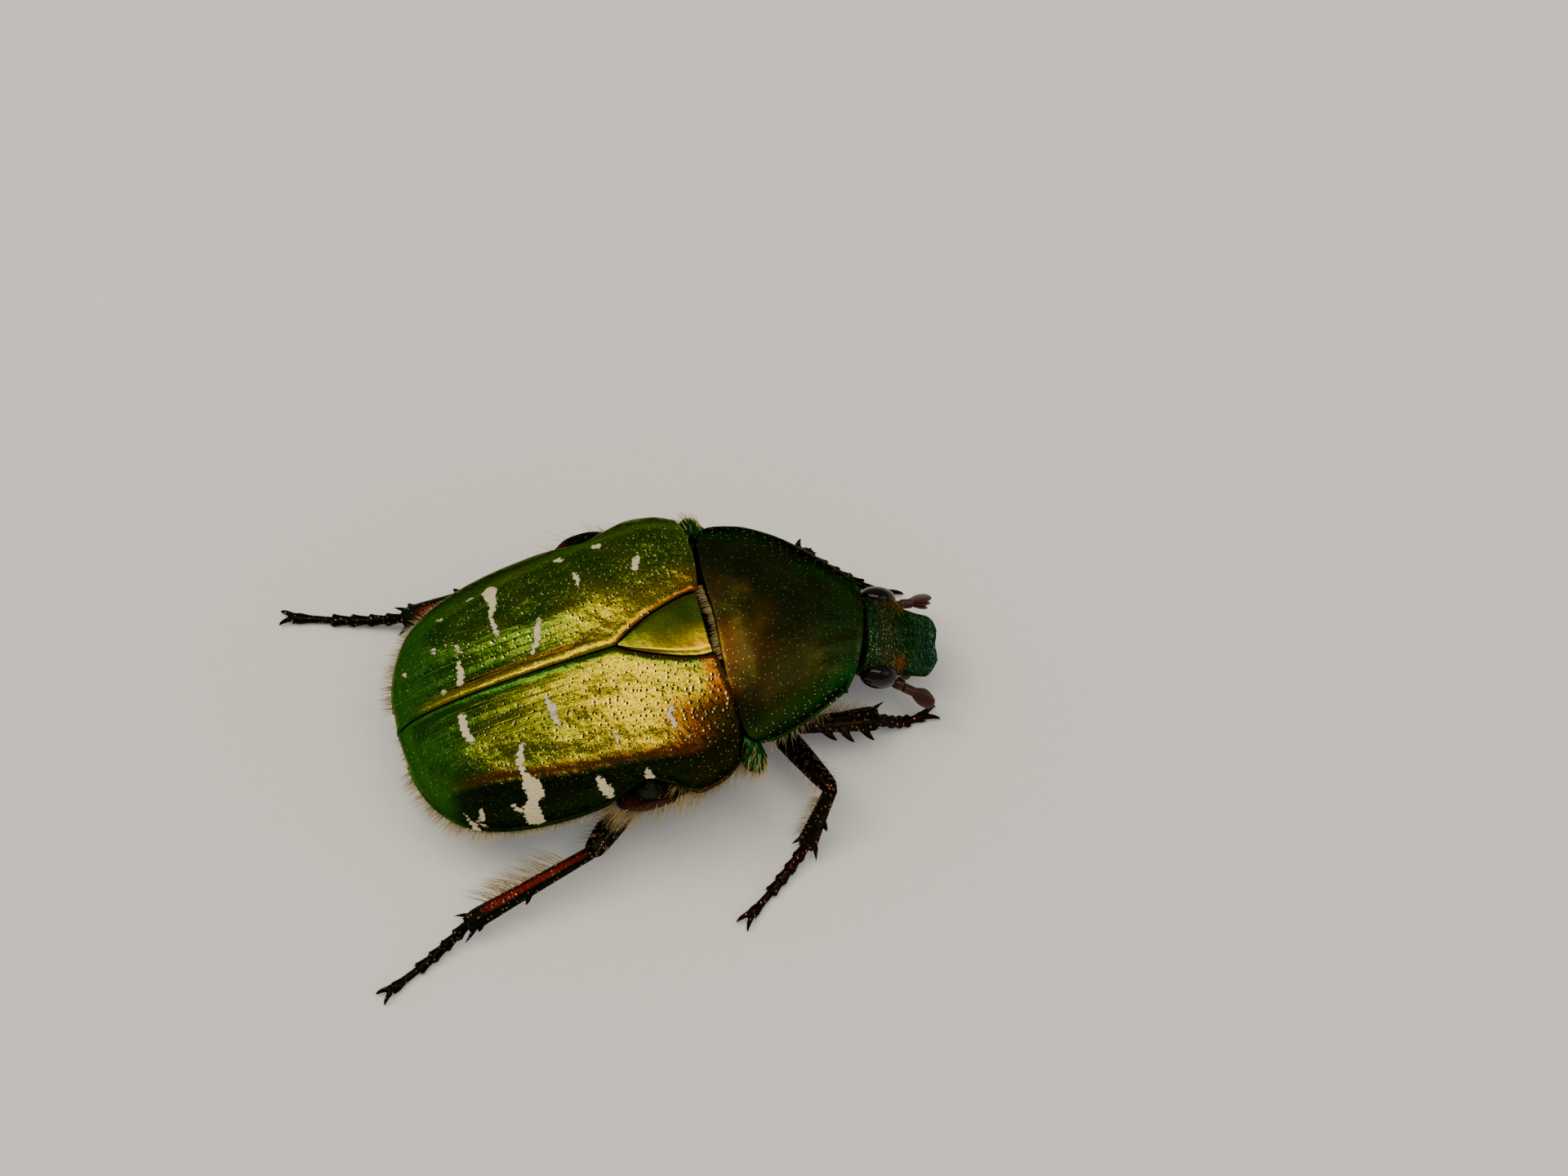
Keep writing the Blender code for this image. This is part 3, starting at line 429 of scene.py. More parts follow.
def sheet(name, rows, cols, place, relief):
    """A grid primitive laid over a curved surface.

    place takes the shares along and across and gives the points, which relief then lifts.
    """
    bpy.ops.object.select_all(action="DESELECT")
    bpy.ops.mesh.primitive_grid_add(x_subdivisions=rows, y_subdivisions=cols, size=1)
    obj = bpy.context.object
    obj.name = name
    flat = vertex_places(obj)
    along, across = flat[:, 0] + 0.5, flat[:, 1] + 0.5
    place_vertices(obj, place(along, across))
    if sum(p.normal.z for p in obj.data.polygons) < 0:
        edit_whole(obj, bpy.ops.mesh.flip_normals)
    lift_vertices(obj, relief(along, across, vertex_places(obj)))
    return obj, along, across


def tube(name, around, rings, place):
    """A ball primitive drawn out into a closed tube.

    place takes the share along, the angle round and the reach, which is 0 at the poles and else 1.
    """
    bpy.ops.object.select_all(action="DESELECT")
    bpy.ops.mesh.primitive_uv_sphere_add(segments=around, ring_count=rings + 1, radius=1)
    obj = bpy.context.object
    obj.name = name
    ball = vertex_places(obj)
    row = np.round(np.arccos(np.clip(ball[:, 2], -1, 1)) / math.pi * (rings + 1))
    reach = np.where((row == 0) | (row == rings + 1), 0.0, 1.0)
    share = np.clip((row - 1) / (rings - 1), 0, 1)
    place_vertices(obj, place(share, np.arctan2(ball[:, 1], ball[:, 0]), reach))
    edit_whole(obj, bpy.ops.mesh.normals_make_consistent, inside=False)
    return obj


def limb(name, line, profile, flat=1.0, around=16, rings=20, up=UP, relief=None):
    """A limb along a line of points, with radii from a profile, flattened upwards."""
    up = np.array(up, float)

    def place(share, angle, reach):
        centre = line(share)
        tangent = unit_rows(line(np.clip(share + 0.01, 0, 1)) - line(np.clip(share - 0.01, 0, 1)))
        side = unit_rows(np.cross(tangent, up))
        rise = np.cross(side, tangent)
        radius = smooth_curve(profile, share) * reach
        if relief is not None:
            radius = radius * (1 + relief(share, angle))
        c, s = np.cos(angle), np.sin(angle)
        return centre + side * (radius * c)[:, None] + rise * (radius * s * flat)[:, None]

    return tube(name, around, rings, place)


def bent_line(*points):
    """A line through two points, or a parabola whose control point is the middle one of three."""
    points = [np.array(p, float) for p in points]

    def at(share):
        s = np.asarray(share, float)[..., None]
        if len(points) == 2:
            return points[0] * (1 - s) + points[1] * s
        return points[0] * (1 - s) ** 2 + 2 * points[1] * s * (1 - s) + points[2] * s * s

    return at


def join(name, pieces):
    select_only(*pieces)
    bpy.ops.object.join()
    obj = bpy.context.object
    obj.name = name
    return obj


def melt(name, pieces, grain, smoothing=3):
    """Joins pieces and runs them together into one skin, remeshed at this grain."""
    obj = join(name, pieces)
    apply_modifier(obj, "REMESH", mode="VOXEL", voxel_size=grain)
    apply_modifier(obj, "SMOOTH", factor=0.5, iterations=smoothing)
    return obj


def set_down(obj, name, material, slot, *nodes):
    """Sets a finished piece into the frame's metres, smooth, with its material, and hides the nodes it
    replaces. slot is not used.
    """
    obj.name = name
    obj.data.transform(Matrix.Translation(Vector(STAND * MM)) @ Matrix.Scale(MM, 4))
    obj.data.materials.clear()
    obj.data.materials.append(material)
    select_only(obj)
    bpy.ops.object.shade_smooth_by_angle(angle=SHARP_ANGLE)
    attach(obj, "root")
    if nodes:
        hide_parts(*nodes)


def add_node(tree, kind, inputs=(), out=0, **settings):
    """Adds a shader node with its settings, fills or links its inputs, and returns one of its outputs."""
    node = tree.nodes.new("ShaderNode" + kind)
    for key, value in settings.items():
        setattr(node, key, value)
    for key, value in inputs.items() if isinstance(inputs, dict) else enumerate(inputs):
        if isinstance(value, bpy.types.NodeSocket):
            tree.links.new(value, node.inputs[key])
        else:
            node.inputs[key].default_value = value
    return node.outputs[out] if node.outputs else None


def new_material(name):
    """An empty material and a function that adds nodes to it."""
    material = bpy.data.materials.new(name)
    material.use_nodes = True
    material.node_tree.nodes.clear()
    return material, partial(add_node, material.node_tree)


def rgba(colour_value, strength=1.0):
    return (*(min(c * strength, 1) for c in colour_value), 1.0)


def pit_nodes(node, surface, pit_size, edge, gap, flat):
    """Round pits at random places, drawn twice a little apart: one side is a dent painted dark, partly the
    pit's own brown and partly painted shade, the other a painted glint.
    """
    bowls = []
    for shift in (0.0, 0.55 * edge):
        offset = (shift, 0.3 * shift, 0.0)
        cells = node("VectorMath", (surface, (1 / gap,) * 3, offset), operation="MULTIPLY_ADD")
        reach, lot = (
            node("TexVoronoi", {"Vector": cells, "Scale": 1.0, "Randomness": 1.0}, out=i,
                 voronoi_dimensions="2D" if flat else "3D")
            for i in (0, 1)
        )
        lot = node("SeparateXYZ", (lot,))
        size = node("Math", (lot, 1.0, 0.4), operation="MULTIPLY_ADD", use_clamp=True)
        size = node("Math", (size, pit_size), operation="MULTIPLY")
        spread = node("Math", (reach, size), operation="DIVIDE")
        bowls.append(node("MapRange", (spread, 0.1 * edge, edge, 1.0, 0.0), interpolation_type="SMOOTHSTEP"))
    # crescent: the dented side, painted dark as partly painted shade; glint: the other side, a painted
    # highlight of varied strength.
    crescent, glint = (
        node("Math", pair, operation="SUBTRACT", use_clamp=True) for pair in (bowls, bowls[::-1])
    )
    strength = node("Math", (lot, 2.4, -0.2), operation="MULTIPLY_ADD", use_clamp=True)
    return crescent, node("Math", (glint, strength), operation="MULTIPLY", use_clamp=True)


def cuticle(name, ground, tints, pits, gloss, metal=1.0, chalk=None, grain=0.002, speckle=0.5, swell=0.025,
            drift=0.7, flat=True, edge_tint="#a8b070"):
    """Beetle cuticle: chitin in fine layers that mirror one colour, polished by growth and pitted.

    It gives the eye a deep metallic colour whose highlights break up in the fine grain. The attribute "zones"
    holds the shares of the three tints, "surface" the place along the surface in millimetres and the depth of
    the striae, and "relief" the chalk distance, the size of the pits and the depth of the wrinkles. pits are
    their spacing, radius and depth in millimetres and the hex colours of their dark side, partly the pit's
    own brown and partly painted shade, and of their painted glint on the other side.
    """
    material, node = new_material(name)
    zones, surface, relief = (
        node("Attribute", out=1, attribute_name=kind) for kind in ("zones", "surface", "relief")
    )
    shares = [node("SeparateXYZ", (zones,), out=i) for i in range(3)]
    chalk_distance, pit_size, wrinkle = (node("SeparateXYZ", (relief,), out=i) for i in range(3))
    across, stria_depth = (node("SeparateXYZ", (surface,), out=i) for i in (1, 2))

    cloud = node("TexNoise", {"Vector": surface, "Scale": CLOUDS, "Detail": 3.0})
    fine = node("TexNoise", {"Vector": surface, "Scale": GRAINS, "Detail": 3.0, "Roughness": 0.7})
    fine = node("Math", (fine, 2.6, -0.8), operation="MULTIPLY_ADD", use_clamp=True)
    sway = node("Math", (cloud, drift, -(drift + speckle) / 2), operation="MULTIPLY_ADD")
    sway = node("Math", (fine, speckle, sway), operation="MULTIPLY_ADD")
    tone = rgba(ground)
    for share, tint in zip(shares, tints):
        moved = node("Math", (sway, share), operation="ADD", use_clamp=True)
        held = node("Math", (share, 6.0), operation="MULTIPLY", use_clamp=True)
        moved = node("Math", (moved, held), operation="MULTIPLY")
        tone = node("Mix", {0: moved, 6: tone, 7: rgba(tint)}, out=2, data_type="RGBA")
    shade = node("Math", (cloud, 0.6 * drift, 1 - 0.3 * drift - 0.75 * speckle), operation="MULTIPLY_ADD")
    shade = node("Math", (fine, 1.3 * speckle, shade), operation="MULTIPLY_ADD")
    tone = node("VectorMath", {0: tone, 3: shade}, operation="SCALE")

    gap, radius, depth, pit_floor_and_shade_tint, painted_glint_tint = pits
    crescent, glint = pit_nodes(node, surface, pit_size, radius / gap, gap, flat)
    # The dark side of each pit gets painted shade over the pit's own brown, and its other side a painted
    # glint.
    dark = node("Math", (crescent, 1.4), operation="MULTIPLY", use_clamp=True)
    for mask, tint in ((dark, pit_floor_and_shade_tint), (glint, painted_glint_tint)):
        tone = node("Mix", {0: mask, 6: tone, 7: rgba(linear(tint))}, out=2, data_type="RGBA")

    stretched = node("VectorMath", (surface, (5.0, 1.8, 0.0)), operation="MULTIPLY")
    crease = node("TexNoise", {"Vector": stretched, "Scale": 1.0, "Detail": 4.0})
    crease = node("Math", (crease, wrinkle), operation="MULTIPLY")
    height = node("Math", (cloud, swell, crease), operation="MULTIPLY_ADD")
    height = node("Math", (fine, grain, height), operation="MULTIPLY_ADD")
    height = node("Math", (crescent, -depth, height), operation="MULTIPLY_ADD")
    if flat:
        rows = node("Math", (across, STRIA_SPACING / 2), operation="PINGPONG")
        stria = node("MapRange", (rows, 0.0, 0.035, 1.0, 0.0), interpolation_type="SMOOTHSTEP")
        stria = node("Math", (stria, stria_depth), operation="MULTIPLY")
        height = node("Math", (stria, -0.01, height), operation="MULTIPLY_ADD")

    roughness = node("Math", (cloud, 0.12, gloss - 0.06), operation="MULTIPLY_ADD")
    metallic = metal
    if chalk is not None:
        ragged = node("TexNoise", {"Vector": surface, "Scale": CHALK_RAGS, "Detail": 4.0})
        outline = node("Math", (ragged, 0.36, chalk_distance), operation="MULTIPLY_ADD")
        mark = node("MapRange", (outline, 0.17, 0.2, 1.0, 0.0), interpolation_type="SMOOTHSTEP")
        dusty = node("TexNoise", {"Vector": surface, "Scale": CHALK_DUST, "Detail": 4.0})
        dust = node("Mix", {0: dusty, 6: rgba(chalk, 0.5), 7: rgba(chalk)}, out=2, data_type="RGBA")
        tone = node("Mix", {0: mark, 6: tone, 7: dust}, out=2, data_type="RGBA")
        roughness = node("Mix", {0: mark, 2: roughness, 3: 0.9}, data_type="FLOAT")
        metallic = node("Math", (mark, -metal, metal), operation="MULTIPLY_ADD")
        raised = node("Math", (dusty, 0.09, 0.01), operation="MULTIPLY_ADD")
        height = node("Mix", {0: mark, 2: height, 3: raised}, data_type="FLOAT")
    bump = node("Bump", {"Height": height, "Distance": MM, "Strength": 1.0})
    shader = node("BsdfPrincipled", {
        "Base Color": tone, "Metallic": metallic, "Roughness": roughness, "Normal": bump,
        "Specular Tint": rgba(linear(edge_tint)),
    })
    node("OutputMaterial", {"Surface": shader})
    return material


def wing_case_share(x):
    return np.clip((WING_CASE_FRONT - x) / WING_CASE_LENGTH, 0, 1)


def wing_case_half_width(x):
    end = (1 - wing_case_share(x) ** WING_CASE_END) ** (1 / WING_CASE_END)
    return smooth_curve(WING_CASE_HALF_WIDTHS, x) * end


def wing_case_crest(x):
    fall = (1 - wing_case_share(x) ** WING_CASE_FALL) ** (1 / WING_CASE_FALL)
    return WING_CASE_END_HEIGHT + (WING_CASE_CREST - WING_CASE_END_HEIGHT) * fall - 0.2 * ramp(x, -2.0, 0.5)


def wing_case_swell(x, y):
    """Raised seam, the hollow beside it, two low ribs, and the shoulder and end bosses."""
    back = ramp(-x, 3.0, 8.0)
    return (
        0.10 * back * bell(y, 0, 0.28)
        - 0.13 * back * bell(y, 0.85, 0.45)
        + 0.05 * bell(y, 1.6, 0.35) * ramp(-x, 1.5, 4)
        + 0.22 * bell(x, -0.9, 0.8) * bell(y, 3.75, 0.6)
        + 0.18 * bell(x, -8.7, 0.8) * bell(y, 2.35, 0.7)
    )


def wing_case_height(x, y):
    half_width = np.maximum(wing_case_half_width(x), 0.01)
    crest = wing_case_crest(x)
    rim = np.minimum(smooth_curve(WING_CASE_RIMS, x), crest - 0.05)
    share = np.minimum(np.abs(y) / half_width, 1.0)
    arch = (1 - share**WING_CASE_ARCH) ** (1 / WING_CASE_ARCH)
    return rim + (crest - rim) * arch + wing_case_swell(x, np.abs(y)) * (1 - share**4)


def wing_case_end_bow(x, y):
    """How far the end of the wing case bows back towards its side."""
    return 0.05 * y * y * wing_case_share(x) ** 8


def scutellum_half_width(x):
    share = np.clip(-x / SCUTELLUM_LENGTH, 0, 1)
    return SCUTELLUM_HALF_WIDTH * (1 - share**1.3) ** 0.85


def seam_side(x):
    """How far the inner edge of a wing case stays from the middle."""
    return np.where(x > -SCUTELLUM_LENGTH, scutellum_half_width(x) + 0.07, SEAM_GAP)


def wing_case_rows():
    """Places along a wing case that are evenly far apart on its outline, round the end too."""
    fine = np.linspace(0, 1, 2000)
    x = WING_CASE_FRONT - WING_CASE_LENGTH * 0.9995 * (1 - (1 - fine) ** 4)
    outline = np.hypot(np.diff(x), np.diff(wing_case_half_width(x)) * 0.7)
    travelled = np.concatenate([[0], np.cumsum(np.hypot(outline, np.diff(wing_case_crest(x))))])
    return travelled / travelled[-1], x


def mark_distance(points, side, sign):
    """Distance in millimetres from each point to the nearest mark's outline, below zero inside it."""
    nearest = np.full(len(points), 9.0)
    for mark in CHALK_MARKS[side]:
        x, y, radii = np.array(mark).T
        path = columns(x, sign * y, wing_case_height(x, y))
        for start, end, first, last in zip(path[:-1], path[1:], radii[:-1], radii[1:]):
            way = end - start
            s = np.clip((points - start) @ way / (way @ way), 0, 1)
            gap = np.linalg.norm(points - start - s[:, None] * way, axis=1) - (first + (last - first) * s)
            nearest = np.minimum(nearest, gap)
    return nearest


def wing_case_tints(side, x, y, down):
    """Shares of gold, copper and dark flank, partly the cuticle's own colour and partly painted light.

    The gold disc and copper shoulder of the right side and the golden seam of the left are painted highlights
    where the key light would mirror, over the real gold and copper. The dark flanks are painted dark
    reflection and painted shade where the sides turn away.
    """
    rib = y - smooth_curve(FLANK_RIB, x)
    by_seam = y - seam_side(x)
    rear = ramp(-x, 7.0, 9.4)
    beside_scutellum = ramp(x, -2.9, -2.5)
    if side == "right":
        # Painted dark reflection on the steep flank, lighter towards the margin, and painted shade on the
        # front of the shoulder, which turns away.
        flank = ramp(rib, -0.05, 0.2) * ramp(-x, 9.9, 8.9) * (1 - 0.5 * ramp(down, 2.0, 2.7))
        flank = np.maximum(flank, 0.85 * ramp(x, -1.5, -0.1) * ramp(y, 2.0, 3.2))
        # Painted highlight over the cuticle's own gold: brightest at the front of the disc, fading back, and
        # held off the seam.
        gold = 0.9 * ramp(rib, 0.0, -0.5) * (0.35 + 0.65 * ramp(x, -6.8, -2.5)) * (1 - rear)
        gold = gold * (1 - 0.95 * bell(by_seam, 0.05, 0.32))
        # Copper on the shoulder, along the rib, at the front edge and in a thin line beside the scutellum:
        # partly the cuticle's own copper, partly painted reflection.
        copper = 1.1 * ramp(x, -2.4, -0.6) * ramp(y, 1.9, 3.0)
        copper = copper + 0.8 * bell(rib, -0.1, 0.22) * ramp(-x, 9.6, 8.0) + 0.8 * ramp(x, -0.25, 0.1)
        copper = copper + 0.9 * bell(by_seam, 0.03, 0.07) * beside_scutellum
    else:
        # Painted dark reflection low on the outer side, which turns away.
        flank = ramp(down, 0.6, 1.3) * ramp(-x, 10.2, 9.0)
        # Painted highlight over the cuticle's own gold: on the inner disc and along the seam. The copper
        # lines beside the seam and at the front are partly painted reflection.
        gold = 0.8 * bell(y, 0.95, 0.9) * ramp(x, -5.5, -1.8) + 0.12 * (1 - rear)
        gold = gold + 1.1 * bell(y, 0.1, 0.25) * ramp(-x, 2.4, 3.2) * ramp(x, -10.0, -8.0)
        copper = 0.7 * bell(y, 0.45, 0.1) * ramp(-x, 3.0, 4.0) * (1 - rear)
        copper = copper + 0.6 * ramp(x, -0.4, 0.1) * ramp(y, 2.5, 1)
        copper = copper + 0.9 * bell(by_seam, 0.05, 0.09) * beside_scutellum
    return np.clip(gold, 0, 1.2), np.clip(copper, 0, 1.2), flank


def build_wing_case(side, sign, material):
    """A thin domed shell with a raised margin, striae beside the seam and a notch for the scutellum."""
    travelled, row_x = wing_case_rows()

    def place(along, across):
        x = np.interp(along, travelled, row_x)
        half_width = wing_case_half_width(x)
        inner = np.minimum(seam_side(x), half_width - 0.02)
        y = inner + (half_width - inner) * np.sin(across * math.pi / 2)
        front_bow = 0.26 * bell(y, 2.6, 1.5) * ramp(x, -2.0, WING_CASE_FRONT)
        return columns(x + wing_case_end_bow(x, y) + front_bow, sign * y, wing_case_height(x, y))

    def relief(along, across, points):
        x, y = points[:, 0], np.abs(points[:, 1])
        rib = 0.06 * bell(y - smooth_curve(FLANK_RIB, x), -0.1, 0.3) * ramp(-x, 9.8, 8.0)
        margin = 0.06 * bell(across, 0.985, 0.012) - 0.05 * ramp(across, 0.99, 1.0)
        gutter = -0.035 * bell(across, 0.955, 0.014)
        seam_bead = 0.025 * bell(across, 0.035, 0.02) - 0.05 * ramp(across, 0.012, 0.0)
        front = -0.10 * ramp(along, 0.012, 0.0)
        return margin + gutter + seam_bead + front + rib

    shell, along, across = sheet(f"{side}_shell", 190, 120, place, relief)
    points = vertex_places(shell)
    x, y, z = points[:, 0], np.abs(points[:, 1]), points[:, 2]
    down = np.clip(wing_case_crest(x) - z, 0, None)
    rib = y - smooth_curve(FLANK_RIB, x)
    tints = wing_case_tints(side, x, y, down)
    striae = ramp(-x, 3.6, 5.5) * ramp(x, -9.9, -9.0) * ramp(y, 0.35, 0.5) * ramp(y, 1.75, 1.5)
    disc = bell(y, 2.0, 1.7) * ramp(x, -9.6, -7.0)
    pits = 0.3 + 0.7 * disc + 0.3 * ramp(x, -3.5, -0.5) * ramp(y, 1.2, 2.4)
    pits = np.clip(pits * ramp(y, 0.28, 0.5) * (0.5 + 0.5 * ramp(rib, 0.3, -0.2)), 0.05, 1.3)
    shoulder = ramp(x, -2.6, -0.6) * ramp(y, 1.6, 3.0) * ramp(rib, 0.3, -0.1)
    wrinkles = 0.12 * tints[2] + 0.09 * shoulder + 0.02
    dress(
        shell, zones=tints, surface=(x, y + 0.7 * down, striae),
        relief=(mark_distance(points, side, sign), pits, wrinkles),
    )
    thicken(shell)
    walls = vertex_places(shell)
    walls[:, 1] = sign * np.maximum(sign * walls[:, 1], seam_side(walls[:, 0]) - 0.04)
    place_vertices(shell, walls)
    set_down(shell, f"{side}_wing_case_shell", material, "wing_case", f"{side}_wing_case")


class CHAFER_OT_wing_cases(bpy.types.Operator):
    """Both wing cases, with their pits, striae and chalky marks"""

    bl_idname = "chafer.wing_cases"
    bl_label = "Wing cases"

    def execute(self, context):
        tones, sizes = context.scene.chafer_colours, context.scene.chafer_sizes
        material = cuticle(
            "wing_case_cuticle_polished", tones.green, (tones.gold, tones.copper, tones.flank),
            (sizes.pit_spacing, 0.062, 0.045, "#3a1e06", "#f0dc8a"), 0.21,
            chalk=tones.chalk, grain=0.004, speckle=0.65, swell=0.16,
        )
        for side, sign in SIDES:
            build_wing_case(side, sign, material)
        return {"FINISHED"}


class CHAFER_OT_scutellum(bpy.types.Operator):
    """The smooth triangle between the wing cases"""

    bl_idname = "chafer.scutellum"
    bl_label = "Scutellum"

    def execute(self, context):
        tones = context.scene.chafer_colours

        def place(along, across):
            x = WING_CASE_FRONT - 0.02 - along * (SCUTELLUM_LENGTH + WING_CASE_FRONT - 0.05)
            y = (2 * across - 1) * np.maximum(scutellum_half_width(x), 0.03)
            return columns(x, y, wing_case_height(x, 0 * x) - 0.05 * y * y)

        def relief(along, across, points):
            return 0.05 * ramp(np.minimum(across, 1 - across), 0, 0.12) - 0.05

        plate, along, across = sheet("scutellum_sheet", 60, 40, place, relief)
        x, y, _ = vertex_places(plate).T
        # Painted highlight: gold over the right half, where the key light would mirror, and a copper glimmer
        # at its right front edge. The rest is green.
        gold = 0.2 + 0.7 * ramp(y, 0.25, -0.55)
        dress(
            plate, zones=(gold, 0.4 * bell(y, -0.7, 0.2) * ramp(x, -1.5, 0), 0.0), surface=(x, y, 0.0),
            relief=(9.0, 0.05 + 0.25 * ramp(x, -0.8, 0.0), 0.0),
        )
        thicken(plate)
        material = cuticle(
            "scutellum_cuticle_polished", tones.green, (tones.gold, tones.copper, tones.flank),
            (0.22, 0.04, 0.015, "#7a5a14", "#a08a00"), 0.22, grain=0.001, speckle=0.25, swell=0.04,
        )
        set_down(plate, "scutellum_plate", material, "scutellum", "scutellum")
        return {"FINISHED"}


def prothorax_place(along, sideways, height):
    """Points of the prothorax, which turns to the beetle's right as it runs forward."""
    share = along / PRONOTUM_LENGTH
    turn = PRONOTUM_TURN_BASE + (PRONOTUM_TURN_FRONT - PRONOTUM_TURN_BASE) * share
    centre = along * np.tan((PRONOTUM_TURN_BASE + turn) / 2)
    return columns(PRONOTUM_BASE + along - sideways * np.sin(turn), centre + sideways * np.cos(turn), height)


def pronotum_height(along, sideways):
    crest, rim = smooth_curve(PRONOTUM_CRESTS, along), smooth_curve(PRONOTUM_RIMS, along)
    share = np.minimum(np.abs(sideways) / smooth_curve(PRONOTUM_HALF_WIDTHS, along), 1.0)
    return rim + (crest - rim) * (1 - share**PRONOTUM_ARCH) ** (1 / PRONOTUM_ARCH)


def pronotum_reach(along, spread):
    """The place forward, with a base that bows back in its middle and a front edge that bows forward."""
    base = 0.12 * bell(spread, 0, 0.28) + 0.72 * np.abs(spread) ** 5 - 0.08 * spread
    front = -0.65 * np.abs(spread) ** 2.5
    return PRONOTUM_LENGTH * along + base * (1 - along) ** 2 + front * along**2


class CHAFER_OT_pronotum(bpy.types.Operator):
    """The shield behind the head, beaded at its edges and finely pitted"""

    bl_idname = "chafer.pronotum"
    bl_label = "Pronotum"

    def execute(self, context):
        tones = context.scene.chafer_colours

        def place(along, across):
            spread = 2 * across - 1
            reach = pronotum_reach(along, spread)
            sideways = smooth_curve(PRONOTUM_HALF_WIDTHS, reach) * np.sin(spread * math.pi / 2)
            return prothorax_place(reach, sideways, pronotum_height(reach, sideways))

        def relief(along, across, points):
            spread = np.abs(2 * across - 1)
            side_bead = 0.05 * bell(spread, 0.985, 0.01) - 0.03 * bell(spread, 0.962, 0.012)
            front_bead = 0.04 * bell(along, 0.985, 0.012) - 0.02 * bell(along, 0.955, 0.014)
            base_roll = -0.16 * ramp(along, 0.035, 0.0)
            pits = -0.05 * (bell(along, 0.5, 0.012) + bell(along, 0.53, 0.012)) * bell(across, 0.58, 0.006)
            edges = -0.05 * ramp(spread, 0.992, 1.0) - 0.06 * ramp(along, 0.99, 1.0)
            return side_bead + front_bead + base_roll + pits + edges

        shield, along, across = sheet("pronotum_sheet", 130, 150, place, relief)
        height = vertex_places(shield)[:, 2]
        spread = 2 * across - 1
        outer = np.abs(spread)
        reach = pronotum_reach(along, spread)
        sideways = 3.8 * np.sin(spread * math.pi / 2)

        def patch(side_at, reach_at, side_width, reach_width):
            return bell(spread, side_at, side_width) * bell(reach, reach_at, reach_width)

        bronze = 0.7 * patch(-0.3, 1.6, 0.4, 1.3) + 0.7 * patch(-0.2, 0.4, 0.5, 0.5)
        green = 0.55 * ramp(np.abs(spread - 0.1), 0.35, 0.8) + 0.35 * ramp(reach, 3.0, 4.6)
        # The patch at the left hind corner is a painted green sheen. The one further forward is green tone.
        green = green + 0.7 * patch(0.63, 1.0, 0.14, 0.35) + 0.6 * patch(0.41, 3.3, 0.12, 0.4)
        # Painted highlight: the glint along the base of the shield, right of its middle. The two faint
        # patches are olive-gold tone.
        painted_glint_and_olive = 1.1 * patch(-0.28, 0.1, 0.16, 0.16) + 0.1 * patch(-0.44, 3.6, 0.18, 0.6)
        painted_glint_and_olive = painted_glint_and_olive + 0.1 * patch(0.12, 1.2, 0.25, 0.7)
        dress(
            shield, zones=(np.clip(green, 0, 1), np.clip(bronze, 0, 1), painted_glint_and_olive),
            surface=(reach, sideways * (1 + 0.14 * (PRONOTUM_CRESTS[0][1] - height)), 0.0),
            relief=(9.0, 0.5 + 0.7 * ramp(outer, 0.4, 0.9), 0.02 * ramp(outer, 0.7, 0.95)),
        )
        thicken(shield)
        material = cuticle(
            "pronotum_cuticle_polished", tones.shield,
            (tones.shield_green, tones.shield_bronze, tones.shield_painted_glint),
            (0.24, 0.034, 0.03, "#14140a", "#f0e8c0"), 0.33, grain=0.001, speckle=0.12, swell=0.06,
            drift=2.2, edge_tint="#6c7440",
        )
        set_down(shield, "pronotum_shield", material, "pronotum", "pronotum")
        return {"FINISHED"}


def half_section(angle, half_width, crest, rim, belly, arch):
    """A body section: a domed upper half under the shell, and a keeled lower half below it."""
    upper_c, upper_s = superellipse(angle, arch)
    lower_c, lower_s = superellipse(angle, BELLY_KEEL)
    upper = angle >= -1e-6
    base = np.minimum(rim - 0.22, crest - 0.25)
    y = np.where(upper, upper_c * half_width[0], lower_c * half_width[1])
    z = np.where(upper, base + (crest - base) * upper_s, rim - 0.42 + (rim - 0.42 - belly) * lower_s)
    return y, z


def leg_points(leg):
    return [np.array(place, float) for place in LEG_JOINTS[leg]]


def coxa(leg):
    """The rounded socket piece that a leg hangs from."""
    centre, knee = leg_points(leg)[:2]
    out = unit(knee - centre)
    profile = ((0, 0.2), (0.3, COXA_RADIUS), (0.7, COXA_RADIUS * 0.95), (0.95, 0.45), (1, 0.2))
    return limb(f"{leg}_coxa", bent_line(centre - out, centre + out * 0.62), profile, around=20, rings=14)


def flank_plate(points):
    """How far out a point lies on the oval plate in the wing cases' notch, where 1 is its edge."""
    x, z = points[:, 0] - FLANK_PLATE_CENTRE[0], points[:, 2] - FLANK_PLATE_CENTRE[1]
    return np.hypot(x / FLANK_PLATE_RADII[0], z / FLANK_PLATE_RADII[1])


def finish_underside(skin, name, material):
    """Copper on the belly's ridges and on the plates in the notch, with a green rim, else green-black."""
    points = vertex_places(skin)
    x, y, z = points.T
    reach = flank_plate(points)
    copper = 0.5 * ramp(reach, 1.0, 0.6) + 0.35 * ramp(z, 3.4, 2.2)
    green = 1.1 * bell(reach, 1.15, 0.16) * ramp(z, 4.9, 4.6)
    dress(
        skin, zones=(np.clip(copper, 0, 1), np.clip(green, 0, 1), 0.0), surface=(x, y + z, 0.35 * z),
        relief=(9.0, 0.8, 0.03),
    )
    set_down(skin, f"{name}_skin", material, "underside", name)


